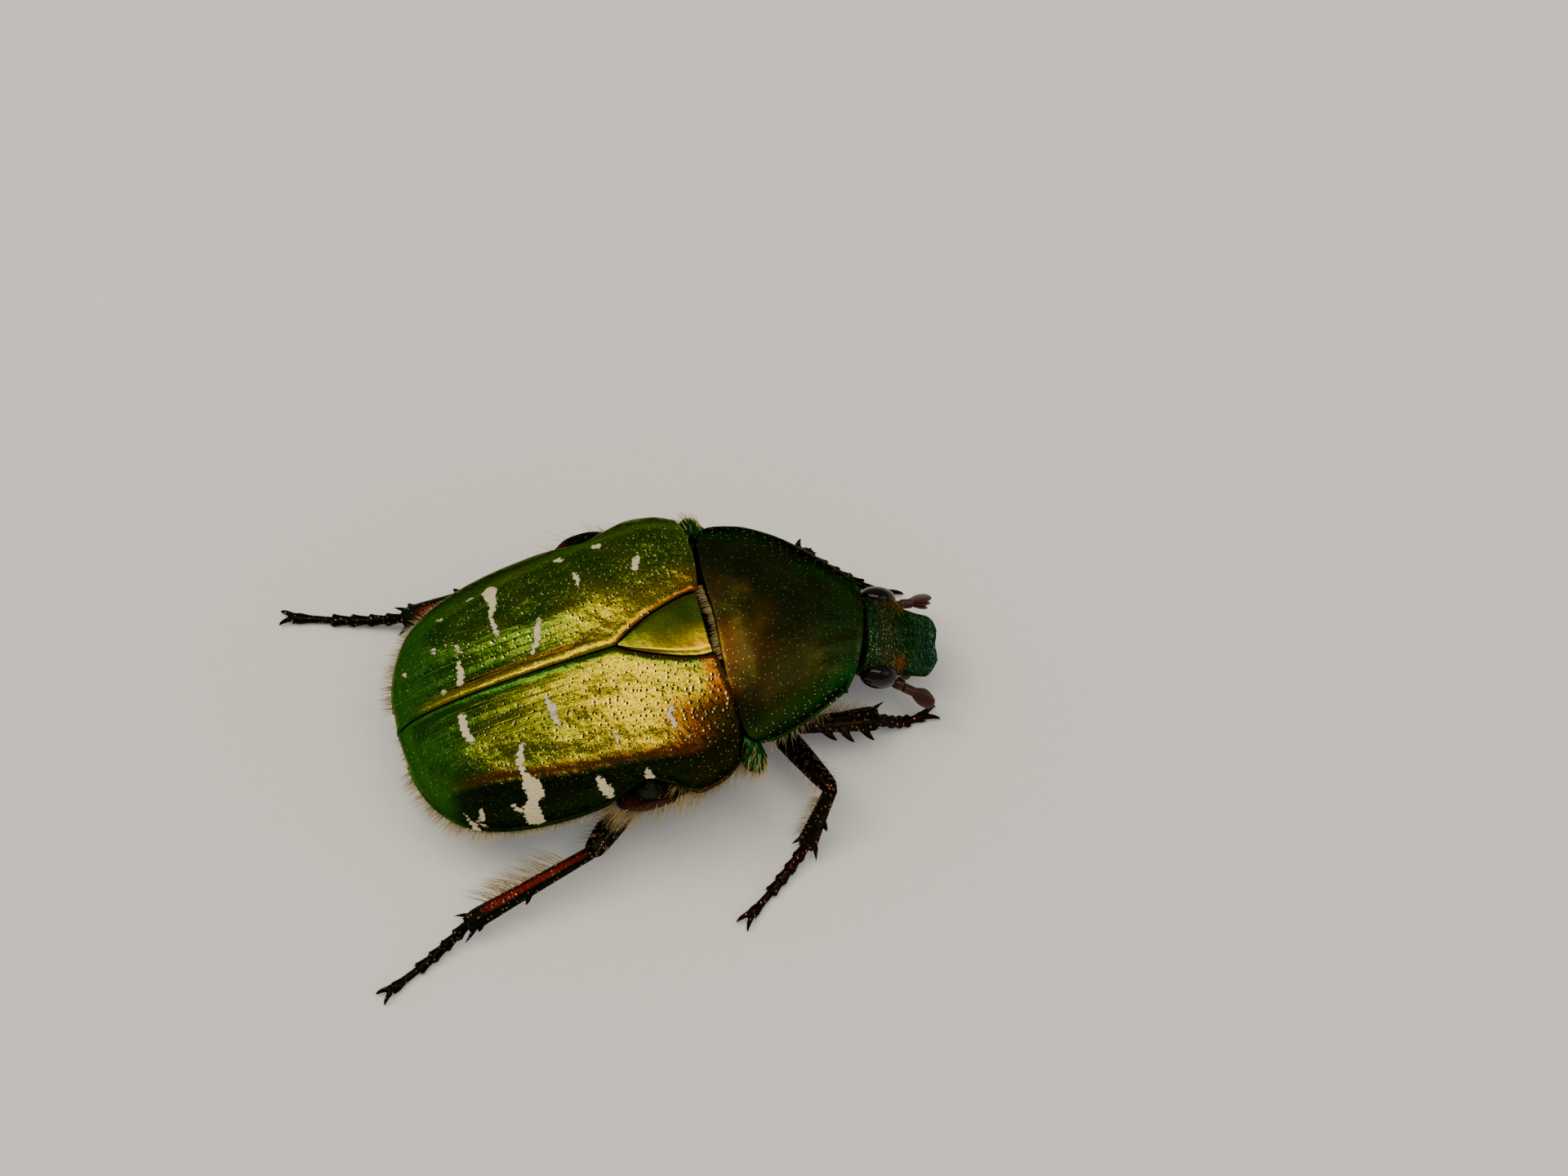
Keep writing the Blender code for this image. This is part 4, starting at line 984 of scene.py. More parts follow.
def build_prosternum(material):
    back, front = 0.12, PRONOTUM_LENGTH - 0.75

    def place(share, angle, reach):
        along = back + (front - back) * share + 1.1 * (1 - share) * np.maximum(-np.sin(angle), 0)
        ahead = along + 0.6 * share
        crest = smooth_curve(PRONOTUM_CRESTS, ahead) - SHELL_WALL - 0.3
        inside = smooth_curve(PRONOTUM_HALF_WIDTHS, ahead) - SHELL_WALL - 0.3
        outside = smooth_curve(PRONOTUM_HALF_WIDTHS, along) - 0.4
        rim = smooth_curve(PRONOTUM_RIMS, along)
        belly = smooth_curve(PROSTERNUM_BELLIES, along)
        y, z = half_section(angle, (inside, outside), crest, rim, belly, PRONOTUM_ARCH)
        middle = rim - 0.6
        return prothorax_place(along, y * reach, middle + (z - middle) * reach)

    body = tube("prosternum_body", 64, 40, place)
    skin = melt("prosternum_melt", [body, coxa("left_fore"), coxa("right_fore")], SKIN_GRAIN)
    finish_underside(skin, "prosternum", material)


def build_thorax(material):
    def place(share, angle, reach):
        x = THORAX_FRONT + (THORAX_BACK - THORAX_FRONT) * share
        neck = ramp(x, -0.2, THORAX_FRONT)
        rim = smooth_curve(WING_CASE_RIMS, x)
        inside = smooth_curve(WING_CASE_HALF_WIDTHS, x) - 0.5 * neck - BODY_UNDER_SHELL
        crest = wing_case_crest(x) - 0.75 * neck - BODY_UNDER_SHELL
        widths = (inside, smooth_curve(FLANK_HALF_WIDTHS, x))
        y, z = half_section(angle, widths, crest, rim, smooth_curve(BELLY_HEIGHTS, x), WING_CASE_ARCH)
        middle = rim - 0.6
        low = np.clip(-np.sin(angle), 0, 1)
        groove = 0.03 * (bell(share, 0.36, 0.02) + bell(share - 0.25 * low, 0.62, 0.02)) * low
        y = y + 0.42 * np.sign(y) * bell(x, -2.9, 1.0) * bell(z, 4.75, 0.8)
        return columns(x, y * reach * (1 - groove), middle + (z - middle) * reach * (1 - groove))

    body = tube("thorax_body", 84, 60, place)
    knob_radii = ((0, 0.2), (0.6, 0.34), (0.9, 0.42), (1, 0.15))
    knob = limb("knob", bent_line((-0.2, 0, 2.0), (1.25, 0, 1.75)), knob_radii)
    sockets = [coxa(leg) for leg in LEG_JOINTS if not leg.endswith("fore")]
    skin = melt("thorax_melt", [body, knob] + sockets, SKIN_GRAIN)
    lift_vertices(skin, 0.07 * ramp(flank_plate(vertex_places(skin)), 1.15, 0.85))
    finish_underside(skin, "thorax", material)


def build_abdomen(material):
    front = THORAX_BACK - 0.02

    def place(share, angle, reach):
        eased = (share + np.sin(share * math.pi / 2)) / 2
        x = front + (ABDOMEN_BACK - front) * eased
        half_width, crest = wing_case_half_width(x - 0.6 * eased), wing_case_crest(x - 0.6 * eased)
        rim = np.minimum(smooth_curve(WING_CASE_RIMS, x), crest - 0.1)
        inside = np.maximum(half_width, 1.9) - BODY_UNDER_SHELL
        outside = np.minimum(smooth_curve(FLANK_HALF_WIDTHS, x), np.maximum(half_width - 0.2, 1.5))
        belly = smooth_curve(BELLY_HEIGHTS, x)
        y, z = half_section(angle, (inside, outside), crest - BODY_UNDER_SHELL, rim, belly, WING_CASE_ARCH)
        step = 1 - 0.03 * ((share * BELLY_PLATES) % 1.0) ** 2 * np.clip(-2 * np.sin(angle), 0, 1)
        closing = np.clip((ABDOMEN_ROUNDING - x) / (ABDOMEN_ROUNDING - ABDOMEN_BACK), 0, 1)
        size = (1 - 0.985 * closing**2.6) ** (1 / 2.6) * step
        middle = rim - 0.5
        return columns(x, y * reach * size, middle + (z - middle) * reach * size)

    skin = tube("abdomen_tube", 96, 120, place)
    apply_modifier(skin, "SMOOTH", factor=0.4, iterations=2)
    finish_underside(skin, "abdomen", material)


class CHAFER_OT_underside(bpy.types.Operator):
    """Prothorax, thorax and abdomen under the shells"""

    bl_idname = "chafer.underside"
    bl_label = "Underside"

    def execute(self, context):
        tones = context.scene.chafer_colours
        material = cuticle(
            "belly_cuticle_punctured", tones.leg, (tones.leg_copper, tones.shield_green, tones.gold),
            (0.2, 0.07, 0.03, "#120c06", "#8a5a3a"), 0.3, metal=0.85, grain=0.006, speckle=0.8, flat=False,
        )
        build_prosternum(material)
        build_thorax(material)
        build_abdomen(material)
        return {"FINISHED"}


class CHAFER_OT_side_plates(bpy.types.Operator):
    """The rounded green pieces between the shield and the wing cases"""

    bl_idname = "chafer.side_plates"
    bl_label = "Side plates"

    def execute(self, context):
        tones = context.scene.chafer_colours
        material = cuticle(
            "side_plate_cuticle_satin", tones.shield_green, (tones.green, tones.gold, tones.leg_copper),
            (0.16, 0.05, 0.025, "#1a1006", "#5a7a3a"), 0.36, grain=0.003,
        )
        for side, sign in SIDES:
            line = bent_line(*(np.array(place) * (1, sign, 1) for place in SIDE_PLATE_LINE))
            plate = limb(
                f"{side}_plate", line, SIDE_PLATE_RADII, flat=0.85, around=32, rings=36, up=(1, 0, 0)
            )
            x, _, z = vertex_places(plate).T
            green = 0.2 * ramp(z, 5.2, 4.4)
            dress(plate, zones=(green, 0.0, 0.0), surface=(x, z, 0.0), relief=(9.0, 0.9, 0.02))
            set_down(plate, f"{side}_side_plate_skin", material, "side_plate", f"{side}_side_plate")
        return {"FINISHED"}


def head_matrix():
    turn = Matrix.Rotation(HEAD_YAW, 4, "Z") @ Matrix.Rotation(HEAD_PITCH, 4, "Y")
    return np.array(Matrix.Translation(HEAD_NECK) @ turn)


def in_head(points):
    """Points of the head's own frame, along, sideways and up, as places on the beetle."""
    matrix = head_matrix()
    return np.asarray(points) @ matrix[:3, :3].T + matrix[:3, 3]


class CHAFER_OT_head(bpy.types.Operator):
    """The head with its square, raised-edged clypeus"""

    bl_idname = "chafer.head"
    bl_label = "Head"

    def execute(self, context):
        tones = context.scene.chafer_colours

        def place(share, angle, reach):
            h = HEAD_START + (HEAD_LENGTH - HEAD_START) * np.sin(share * math.pi / 2)
            wide = smooth_curve(HEAD_HALF_WIDTHS, h) * (1 - 0.25 * ramp(h, HEAD_LENGTH - 0.25, HEAD_LENGTH))
            top, bottom = smooth_curve(HEAD_TOPS, h), smooth_curve(HEAD_BOTTOMS, h)
            c, s = superellipse(angle, 2.6)
            across = np.abs(c)
            clypeus = ramp(h, 1.25, 1.6)
            rim = 0.10 * clypeus * bell(across, 0.86, 0.14) + 0.09 * bell(h, HEAD_LENGTH - 0.12, 0.12)
            hollow = -0.09 * clypeus * bell(across, 0.0, 0.55) * ramp(HEAD_LENGTH - h, 0.1, 0.4)
            brow = 0.06 * bell(h, 0.75, 0.3) * bell(across, 0.0, 0.35)
            brow = brow - 0.05 * bell(h, 1.25, 0.12) * bell(across, 0, 0.8)
            notch = -0.09 * ramp(h, HEAD_LENGTH - 0.3, HEAD_LENGTH) * bell(c, 0, 0.35)
            lifted = ramp(s, 0.2, 0.9) * (rim + hollow + brow)
            rise = (top + bottom) / 2 + ((top - bottom) / 2 * s + lifted) * reach
            canthus = 0.14 * bell(h, 1.02, 0.12) * bell(s, 0.1, 0.35)
            return in_head(columns(h + notch, (wide * c * (1 + canthus)) * reach, rise))

        skull = tube("skull", 96, 90, place)
        apply_modifier(skull, "SMOOTH", factor=0.4, iterations=2)
        h, side, rise = ((vertex_places(skull) - np.array(HEAD_NECK)) @ head_matrix()[:3, :3]).T
        bronze = 0.7 * bell(h, 0.85, 0.25) * bell(np.abs(side), 1.0, 0.22) + 0.12 * bell(h, 0.2, 0.4)
        dress(
            skull, zones=(ramp(h, 1.2, 1.9), np.clip(bronze, 0, 1), 0.0), surface=(h, side, rise),
            relief=(9.0, 1.0, 0.03),
        )
        material = cuticle(
            "head_cuticle_coarse", tones.face, (tones.clypeus, tones.copper, tones.gold),
            (0.1, 0.05, 0.04, "#0c1008", "#7f9a68"), 0.38, grain=0.012, speckle=0.9, flat=False,
        )
        set_down(skull, "head_skull", material, "head", "head")
        return {"FINISHED"}


def cornea_material():
    """Compound eye: clear corneal chitin over black pigment, so it looks wet and nearly black.

    Its fine net of facets is 0.03 mm across, and is drawn a little coarser to show.
    """
    material, node = new_material("eye_cornea_faceted")
    place = node("TexCoord", out=3)
    facets = node("TexVoronoi", {"Vector": place, "Scale": 1 / EYE_FACET / MM, "Randomness": 0.15})
    bump = node("Bump", {"Height": facets, "Distance": -0.006 * MM, "Strength": 0.12})
    shader = node("BsdfPrincipled", {
        "Base Color": rgba(linear("#0c0604")), "Roughness": 0.09, "IOR": 1.56, "Specular IOR Level": 0.16,
        "Normal": bump,
    })
    node("OutputMaterial", {"Surface": shader})
    return material


class CHAFER_OT_eyes(bpy.types.Operator):
    """The two domed compound eyes"""

    bl_idname = "chafer.eyes"
    bl_label = "Eyes"

    def execute(self, context):
        material = cornea_material()
        for side, sign in SIDES:
            def dome(share, angle, reach):
                turn = np.pi * (0.02 + 0.96 * share)
                pole = np.where(share > 0.5, np.pi, 0.0)
                ring = np.sin(turn) * reach
                rise = np.cos(np.where(reach > 0, turn, pole))
                ball = columns(np.cos(angle) * ring, np.sin(angle) * ring, rise)
                return in_head(ball * EYE_RADII + np.array(EYE_SEAT) * (1, sign, 1))

            eye = tube(f"{side}_ball", 48, 30, dome)
            set_down(eye, f"{side}_eye_dome", material, "eye", f"{side}_eye")
        return {"FINISHED"}


def horn_material(tone):
    """Horn: thin brown chitin, hardened as it dries, so it is clouded light and dark with a soft gloss."""
    material, node = new_material("feeler_chitin_brown")
    place = node("TexCoord", out=3)
    cloud = node("TexNoise", {"Vector": place, "Scale": 1 / 0.35 / MM, "Detail": 3.0})
    mix = node("Mix", {0: cloud, 6: rgba(tone), 7: rgba(tone, 2.2)}, out=2, data_type="RGBA")
    fine = node("TexNoise", {"Vector": place, "Scale": 1 / 0.05 / MM, "Detail": 2.0})
    bump = node("Bump", {"Height": fine, "Distance": 0.01 * MM, "Strength": 0.8})
    shader = node("BsdfPrincipled", {
        "Base Color": mix, "Roughness": 0.26, "IOR": 1.56, "Specular IOR Level": 0.2, "Normal": bump,
    })
    node("OutputMaterial", {"Surface": shader})
    return material


def bead_row(name, start, end, count, overlap, around, rings):
    """Beads in a row between two places in the head's frame, each running a little into its neighbours."""
    beads = []
    for k in range(count):
        ends = [start + (end - start) * s for s in (k / count - overlap[0], (k + 1) / count + overlap[1])]
        beads.append(limb(f"{name}_{k}", bent_line(*in_head(ends)), BEAD_RADII, around=around, rings=rings))
    return beads


class CHAFER_OT_feelers(bpy.types.Operator):
    """Antennae with three-leaved clubs, and the palps under the mouth"""

    bl_idname = "chafer.feelers"
    bl_label = "Feelers"

    def execute(self, context):
        material = horn_material(context.scene.chafer_colours.horn)
        for side, sign in SIDES:
            mirror = np.array((1, sign, 1))
            root = ANTENNA_ROOT * mirror
            elbow = root + np.array((0.36, 0.42, 0.16)) * mirror
            neck = elbow + np.array((0.42, 0.1, 0.05)) * mirror
            tip = neck + np.array((CLUB_LENGTH, 0.22, 0)) * mirror
            scape = bent_line(*in_head([root - 0.1, elbow + 0.03]))
            pieces = [limb("scape", scape, SCAPE_RADII, around=20, rings=16)]
            pieces += bead_row("bead", elbow, neck, ANTENNA_BEADS, (0.06, 0.04), 18, 9)
            stack = np.array((0.0, 0.8, 0.6)) * mirror
            for k in (-1, 0, 1):
                start = neck + (-0.08, 0, 0) + stack * 0.06 * k
                end = tip + (0.06 - 0.03 * abs(k), 0, 0) + stack * 0.19 * k
                leaf_up = in_head([stack])[0] - np.array(HEAD_NECK)
                line = bent_line(*in_head([start, end]))
                pieces.append(limb(f"leaf_{k}", line, LEAF_RADII, flat=0.3, around=24, rings=18, up=leaf_up))
            antenna = join(f"{side}_antenna_pieces", pieces)
            set_down(antenna, f"{side}_antenna_jointed", material, "antenna", f"{side}_antenna")
            beads = bead_row("palp", PALP_ROOT * mirror, PALP_TIP * mirror, PALP_BEADS, (0.05, 0.02), 18, 12)
            palp = join(f"{side}_palp_pieces", beads)
            set_down(palp, f"{side}_palp_jointed", material, "antenna", f"{side}_palp")
        return {"FINISHED"}


def away_from_body(along, place):
    """The level direction square to a leg's part that points out from the beetle's middle."""
    side = unit(np.cross(along, UP))
    return side if side[1] * place[1] > 0 else -side


def dress_leg(skin, leg, green):
    """Copper on the hind shins, green-black elsewhere."""
    points = vertex_places(skin)
    x, y, z = points.T
    knee, ankle = leg_points(leg)[1:3]
    way = ankle - knee
    s = (points - knee) @ way / (way @ way)
    outside = (points - knee - s[:, None] * way) @ away_from_body(way, ankle)
    if leg.endswith("hind"):
        copper = 1.2 * ramp(s, 0.0, 0.08) * ramp(s, 0.92, 0.75) * ramp(outside, 0.14, 0.0)
    else:
        copper = 0.1
    green = (green + 0.08 * bell(z, 2.0, 0.8)) * (1 - np.clip(copper, 0, 1))
    dress(skin, zones=(copper, green, 0.0), surface=(x, y, z), relief=(9.0, 0.9, 0.03))


def femur_ridge(share, angle):
    return 0.07 * bell(np.abs(angle), 1.2, 0.25)


def tibia_ridges(share, angle):
    return 0.05 * np.cos(6 * angle) * ramp(share, 0.05, 0.2)


def build_femur(leg, material):
    start, knee = leg_points(leg)[:2]
    out = unit(knee - start)
    r = FEMUR_RADII[leg]
    stops = ((0, 0.4), (0.06, 0.7), (0.35, 1), (0.75, 0.86), (0.95, 0.66), (1, 0.4))
    profile = [(stop, r * size) for stop, size in stops]
    line = bent_line(start + out * 0.45, knee + out * 0.1)
    thigh = limb("thigh", line, profile, flat=0.8, around=36, rings=50, relief=femur_ridge)
    dress_leg(thigh, leg, 0.0)
    set_down(thigh, f"{leg}_thigh", material, "leg", f"{leg}_femur")


def shin_spikes(leg, along, outward, rise):
    """Outer teeth, the long spurs at the shin's end and the ring of short spines round the ankle."""
    knee, ankle = leg_points(leg)[1:3]
    r, length, fore = TIBIA_RADII[leg], np.linalg.norm(ankle - knee), leg.endswith("fore")
    thorn = ((0, 0.2 if fore else 0.13), (0.3, 0.15 if fore else 0.09), (0.8, 0.06), (1, 0.02))
    spikes = []
    for k, spot in enumerate(FORE_TEETH if fore else OTHER_TEETH):
        reach = (0.64 if fore else 0.34) * (1 if k or not fore else 0.8)
        root = knee + along * length * spot + outward * r * 0.35
        bend = root + outward * reach * 0.7 + along * 0.06
        tip = root + outward * reach + along * 0.3
        spikes.append(limb("tooth", bent_line(root - along * 0.06, bend, tip), thorn, around=14, rings=12))
    for turn in (-1,) if fore else (-1, 1):
        root = ankle - along * 0.25 + outward * turn * r * 0.5 - rise * 0.08
        tip = ankle + along * 0.45 + outward * turn * (r + 0.2) - rise * 0.12
        bend = root + along * 0.3 + outward * turn * 0.2
        spikes.append(limb("spur", bent_line(root, bend, tip), SPUR_RADII, around=12, rings=10))
    for k in range(ANKLE_SPINES):
        turn = math.pi * (k + 0.5) / ANKLE_SPINES * 2
        around = outward * math.cos(turn) + rise * math.sin(turn) * 0.72
        root = ankle - along * 0.05 + around * r * 0.85
        line = bent_line(root, root + along * 0.22 + around * 0.08)
        spikes.append(limb("spine", line, SPINE_RADII, around=6, rings=4))
    return spikes


def build_tibia(leg, material):
    """The shin: ridged, with outer teeth and the spurs at its end."""
    knee, ankle = leg_points(leg)[1:3]
    along = unit(ankle - knee)
    r = TIBIA_RADII[leg]
    stops = ((0, 0.45), (0.04, 0.72), (0.15, 0.74), (0.6, 0.9), (0.93, 1.05), (1, 0.7))
    profile = [(stop, r * size) for stop, size in stops]
    line = bent_line(knee - along * 0.1, ankle + along * 0.08)
    shaft = limb("shin", line, profile, flat=0.72, around=40, rings=70, relief=tibia_ridges)
    rise = np.cross(unit(np.cross(along, UP)), along)
    spikes = shin_spikes(leg, along, away_from_body(along, ankle), rise)
    shin = melt("shin_skin", [shaft] + spikes, 0.03 if leg.endswith("fore") else 0.034, smoothing=2)
    dress_leg(shin, leg, 0.05)
    set_down(shin, f"{leg}_shin", material, "leg", f"{leg}_tibia")


def foot_joints(line):
    """Five flaring joints along the foot's line, each with a short spine on either side of its end."""
    pieces, begin = [], 0.0
    for i, share in enumerate(TARSUS_SEGMENTS):
        start, end = line(np.array((begin, begin + share)))
        way = unit(end - start)
        profile = LAST_JOINT_RADII if i == len(TARSUS_SEGMENTS) - 1 else JOINT_RADII
        joint_line = bent_line(start - way * 0.1, end + way * 0.02)
        pieces.append(limb(f"joint_{i}", joint_line, profile, around=18, rings=16))
        side = unit(np.cross(way, UP))
        for turn in (-1, 1):
            root = end - way * 0.08 + side * turn * 0.13
            tip = end + way * 0.16 + side * turn * 0.26
            tip[2] = max(tip[2], 0.03)
            pieces.append(limb("foot_spine", bent_line(root, tip), SPINE_RADII, around=6, rings=4))
        begin += share
    return pieces


def foot_claws(line):
    end, before = line(np.array((1.0, 0.9)))
    forward = unit((end - before) * (1, 1, 0))
    sideways = np.cross(UP, forward)
    claws = []
    for turn in (-1, 1):
        aim = forward * math.cos(turn * CLAW_SPREAD) + sideways * math.sin(turn * CLAW_SPREAD)
        root = end - forward * 0.1 + (0, 0, 0.02)
        bend = end + aim * CLAW_LENGTH * 0.7 + (0, 0, 0.3)
        tip = end + aim * CLAW_LENGTH
        tip[2] = 0.05
        claws.append(limb("claw", bent_line(root, bend, tip), CLAW_RADII, around=12, rings=16))
    return claws


def build_tarsus(leg, material):
    """The foot, which falls from the ankle to the floor and then lies along it, with its two hooked claws."""
    ankle, end = leg_points(leg)[2:]
    touch = ankle + (end - ankle) * TARSUS_LANDING
    touch[2] = SOLE - 0.12
    line = bent_line(ankle, touch, end)
    foot = melt("foot_skin", foot_joints(line) + foot_claws(line), 0.03, smoothing=1)
    points = vertex_places(foot)
    points[:, 2] = np.maximum(points[:, 2], 0.0)
    place_vertices(foot, points)
    dress_leg(foot, leg, 0.0)
    set_down(foot, f"{leg}_foot", material, "foot", f"{leg}_tarsus")


class CHAFER_OT_legs(bpy.types.Operator):
    """Six legs: thigh, toothed shin and five-jointed foot with claws"""

    bl_idname = "chafer.legs"
    bl_label = "Legs"

    def execute(self, context):
        tones = context.scene.chafer_colours
        material = cuticle(
            "leg_cuticle_punctured", tones.leg, (tones.leg_copper, tones.shield_green, tones.gold),
            (0.15, 0.06, 0.03, "#0d0a06", "#e08a66"), 0.28, metal=0.85, grain=0.004, flat=False,
            edge_tint="#806a58",
        )
        for leg in LEG_JOINTS:
            build_femur(leg, material)
            build_tibia(leg, material)
            build_tarsus(leg, material)
        return {"FINISHED"}


def skin_roots(name, count, keep, seed):
    """Random roots on a finished piece and the normals there, in millimetres, as dense as keep says."""
    rng = np.random.default_rng(seed)
    mesh = bpy.data.objects[name].data
    mesh.calc_loop_triangles()
    index = np.empty(len(mesh.loop_triangles) * 3, int)
    mesh.loop_triangles.foreach_get("vertices", index)
    corners = (vertex_places(bpy.data.objects[name]) / MM - STAND)[index.reshape(-1, 3)]
    first, second = corners[:, 1] - corners[:, 0], corners[:, 2] - corners[:, 0]
    crosses = np.cross(first, second)
    areas = np.linalg.norm(crosses, axis=1)
    normals = crosses / np.maximum(areas, 1e-12)[:, None]
    weights = areas * np.clip(keep(corners.mean(axis=1), normals), 0, None)
    chosen = rng.choice(len(weights), size=count, p=weights / weights.sum())
    u, v = rng.random((2, count, 1))
    flip = u + v > 1
    u, v = np.where(flip, 1 - u, u), np.where(flip, 1 - v, v)
    return corners[chosen, 0] + first[chosen] * u + second[chosen] * v, normals[chosen]


def round_unwrap(roots, start, end):
    """Places on a cylinder unwrap about the axis from start to end, as shares of the unit square."""
    start, end = np.array(start, float), np.array(end, float)
    way = end - start
    side = unit(np.cross(way, UP))
    rise = unit(np.cross(side, way))
    offset = roots - start
    along = np.clip(offset @ way / (way @ way), 0, 1)
    return along, np.arctan2(offset @ rise, offset @ side) / (2 * math.pi) + 0.5


def grow_hair(name, slot, material, roots, ways, lengths, lie, bend, radius, unwrap):
    """Builds tapered, bent hairs as one mesh, each with its bake patch at its root's place on the unwrap."""
    count, rings = len(roots), len(HAIR_RINGS)
    ways = unit_rows(ways)
    across = unit_rows(np.cross(ways, ways[:, [1, 2, 0]] + 0.3))
    other = np.cross(ways, across)
    turns = [2 * math.pi * k / HAIR_SIDES for k in range(HAIR_SIDES)]
    stride = rings * HAIR_SIDES + 1
    points = np.empty((count, stride, 3))
    for ring, share in enumerate((*HAIR_RINGS, 1.0)):
        centre = roots + ways * (lengths * share)[:, None] + lie * (lengths * share * share)[:, None] * bend
        if ring == rings:
            points[:, -1] = centre
            continue
        thick = radius * (1 - share) ** 0.6
        for k, turn in enumerate(turns):
            out = across * math.cos(turn) + other * math.sin(turn)
            points[:, ring * HAIR_SIDES + k] = centre + out * thick
    faces = [(2, 1, 0)]
    for ring in range(rings):
        for k in range(HAIR_SIDES):
            a, b = ring * HAIR_SIDES + k, ring * HAIR_SIDES + (k + 1) % HAIR_SIDES
            faces.append((a, b, stride - 1) if ring == rings - 1 else (a, b, b + HAIR_SIDES, a + HAIR_SIDES))
    mesh = bpy.data.meshes.new(name)
    all_faces = [tuple(i + stride * h for i in face) for h in range(count) for face in faces]
    mesh.from_pydata(points.reshape(-1, 3).tolist(), [], all_faces)
    spots = np.array([(math.cos(turn), math.sin(turn)) for turn in turns])
    spots = np.concatenate([spots * (1 - share) for share in HAIR_RINGS] + [np.zeros((1, 2))]) * HAIR_PATCH
    places = 0.02 + 0.95 * np.stack(unwrap, axis=1)
    loops = np.empty(len(mesh.loops), int)
    mesh.loops.foreach_get("vertex_index", loops)
    layer = mesh.uv_layers.new(name="OFBake")
    layer.data.foreach_set("uv", (places[:, None, :] + spots).reshape(-1, 2)[loops].ravel())
    obj = bpy.data.objects.new(name, mesh)
    bpy.context.scene.collection.objects.link(obj)
    set_down(obj, name, material, slot)


def hair_material(tone):
    """Setae: hollow golden chitin hairs, each a smooth thread with a soft long highlight."""
    material, node = new_material("setae_golden")
    place = node("TexCoord", out=3)
    cloud = node("TexNoise", {"Vector": place, "Scale": 1 / 0.9 / MM, "Detail": 2.0})
    # A random mix of a darker, shaded copy and a paler, lit copy of the hair colour: painted light and shade.
    mix = node("Mix", {0: cloud, 6: rgba(tone, 0.45), 7: rgba(tone, 1.5)}, out=2, data_type="RGBA")
    shader = node("BsdfPrincipled", {"Base Color": mix, "Roughness": 0.4, "IOR": 1.55, "Metallic": 0.0})
    node("OutputMaterial", {"Surface": shader})
    return material


def thorax_density(points, normals):
    x, y, z = points.T
    bare = 1 - 0.97 * ramp(flank_plate(points), 1.15, 1.0)
    behind = 1.5 * bell(x, -4.1, 0.7) * ramp(z, 4.0, 4.6)
    return (0.6 + behind) * bare * ramp(z, 5.9, 5.2) * (normals[:, 2] < 0.75) * ramp(np.abs(y), 0.6, 2.2)


def prosternum_density(points, normals):
    return ramp(points[:, 2], 5.2, 4.6) * (normals[:, 2] < 0.5)


def abdomen_density(points, normals):
    x, z = points[:, 0], points[:, 2]
    edge = ramp(z, 4.6, 4.0) * ramp(z, 1.8, 3.0)
    rear = ramp(x, -8.6, -10.2)
    return (0.7 * edge + 0.9 * rear * ramp(z, 4.9, 4.4)) * (normals[:, 2] < 0.6)


def side_plate_density(points, normals):
    return 0.2 + ramp(points[:, 2], 5.2, 4.4)


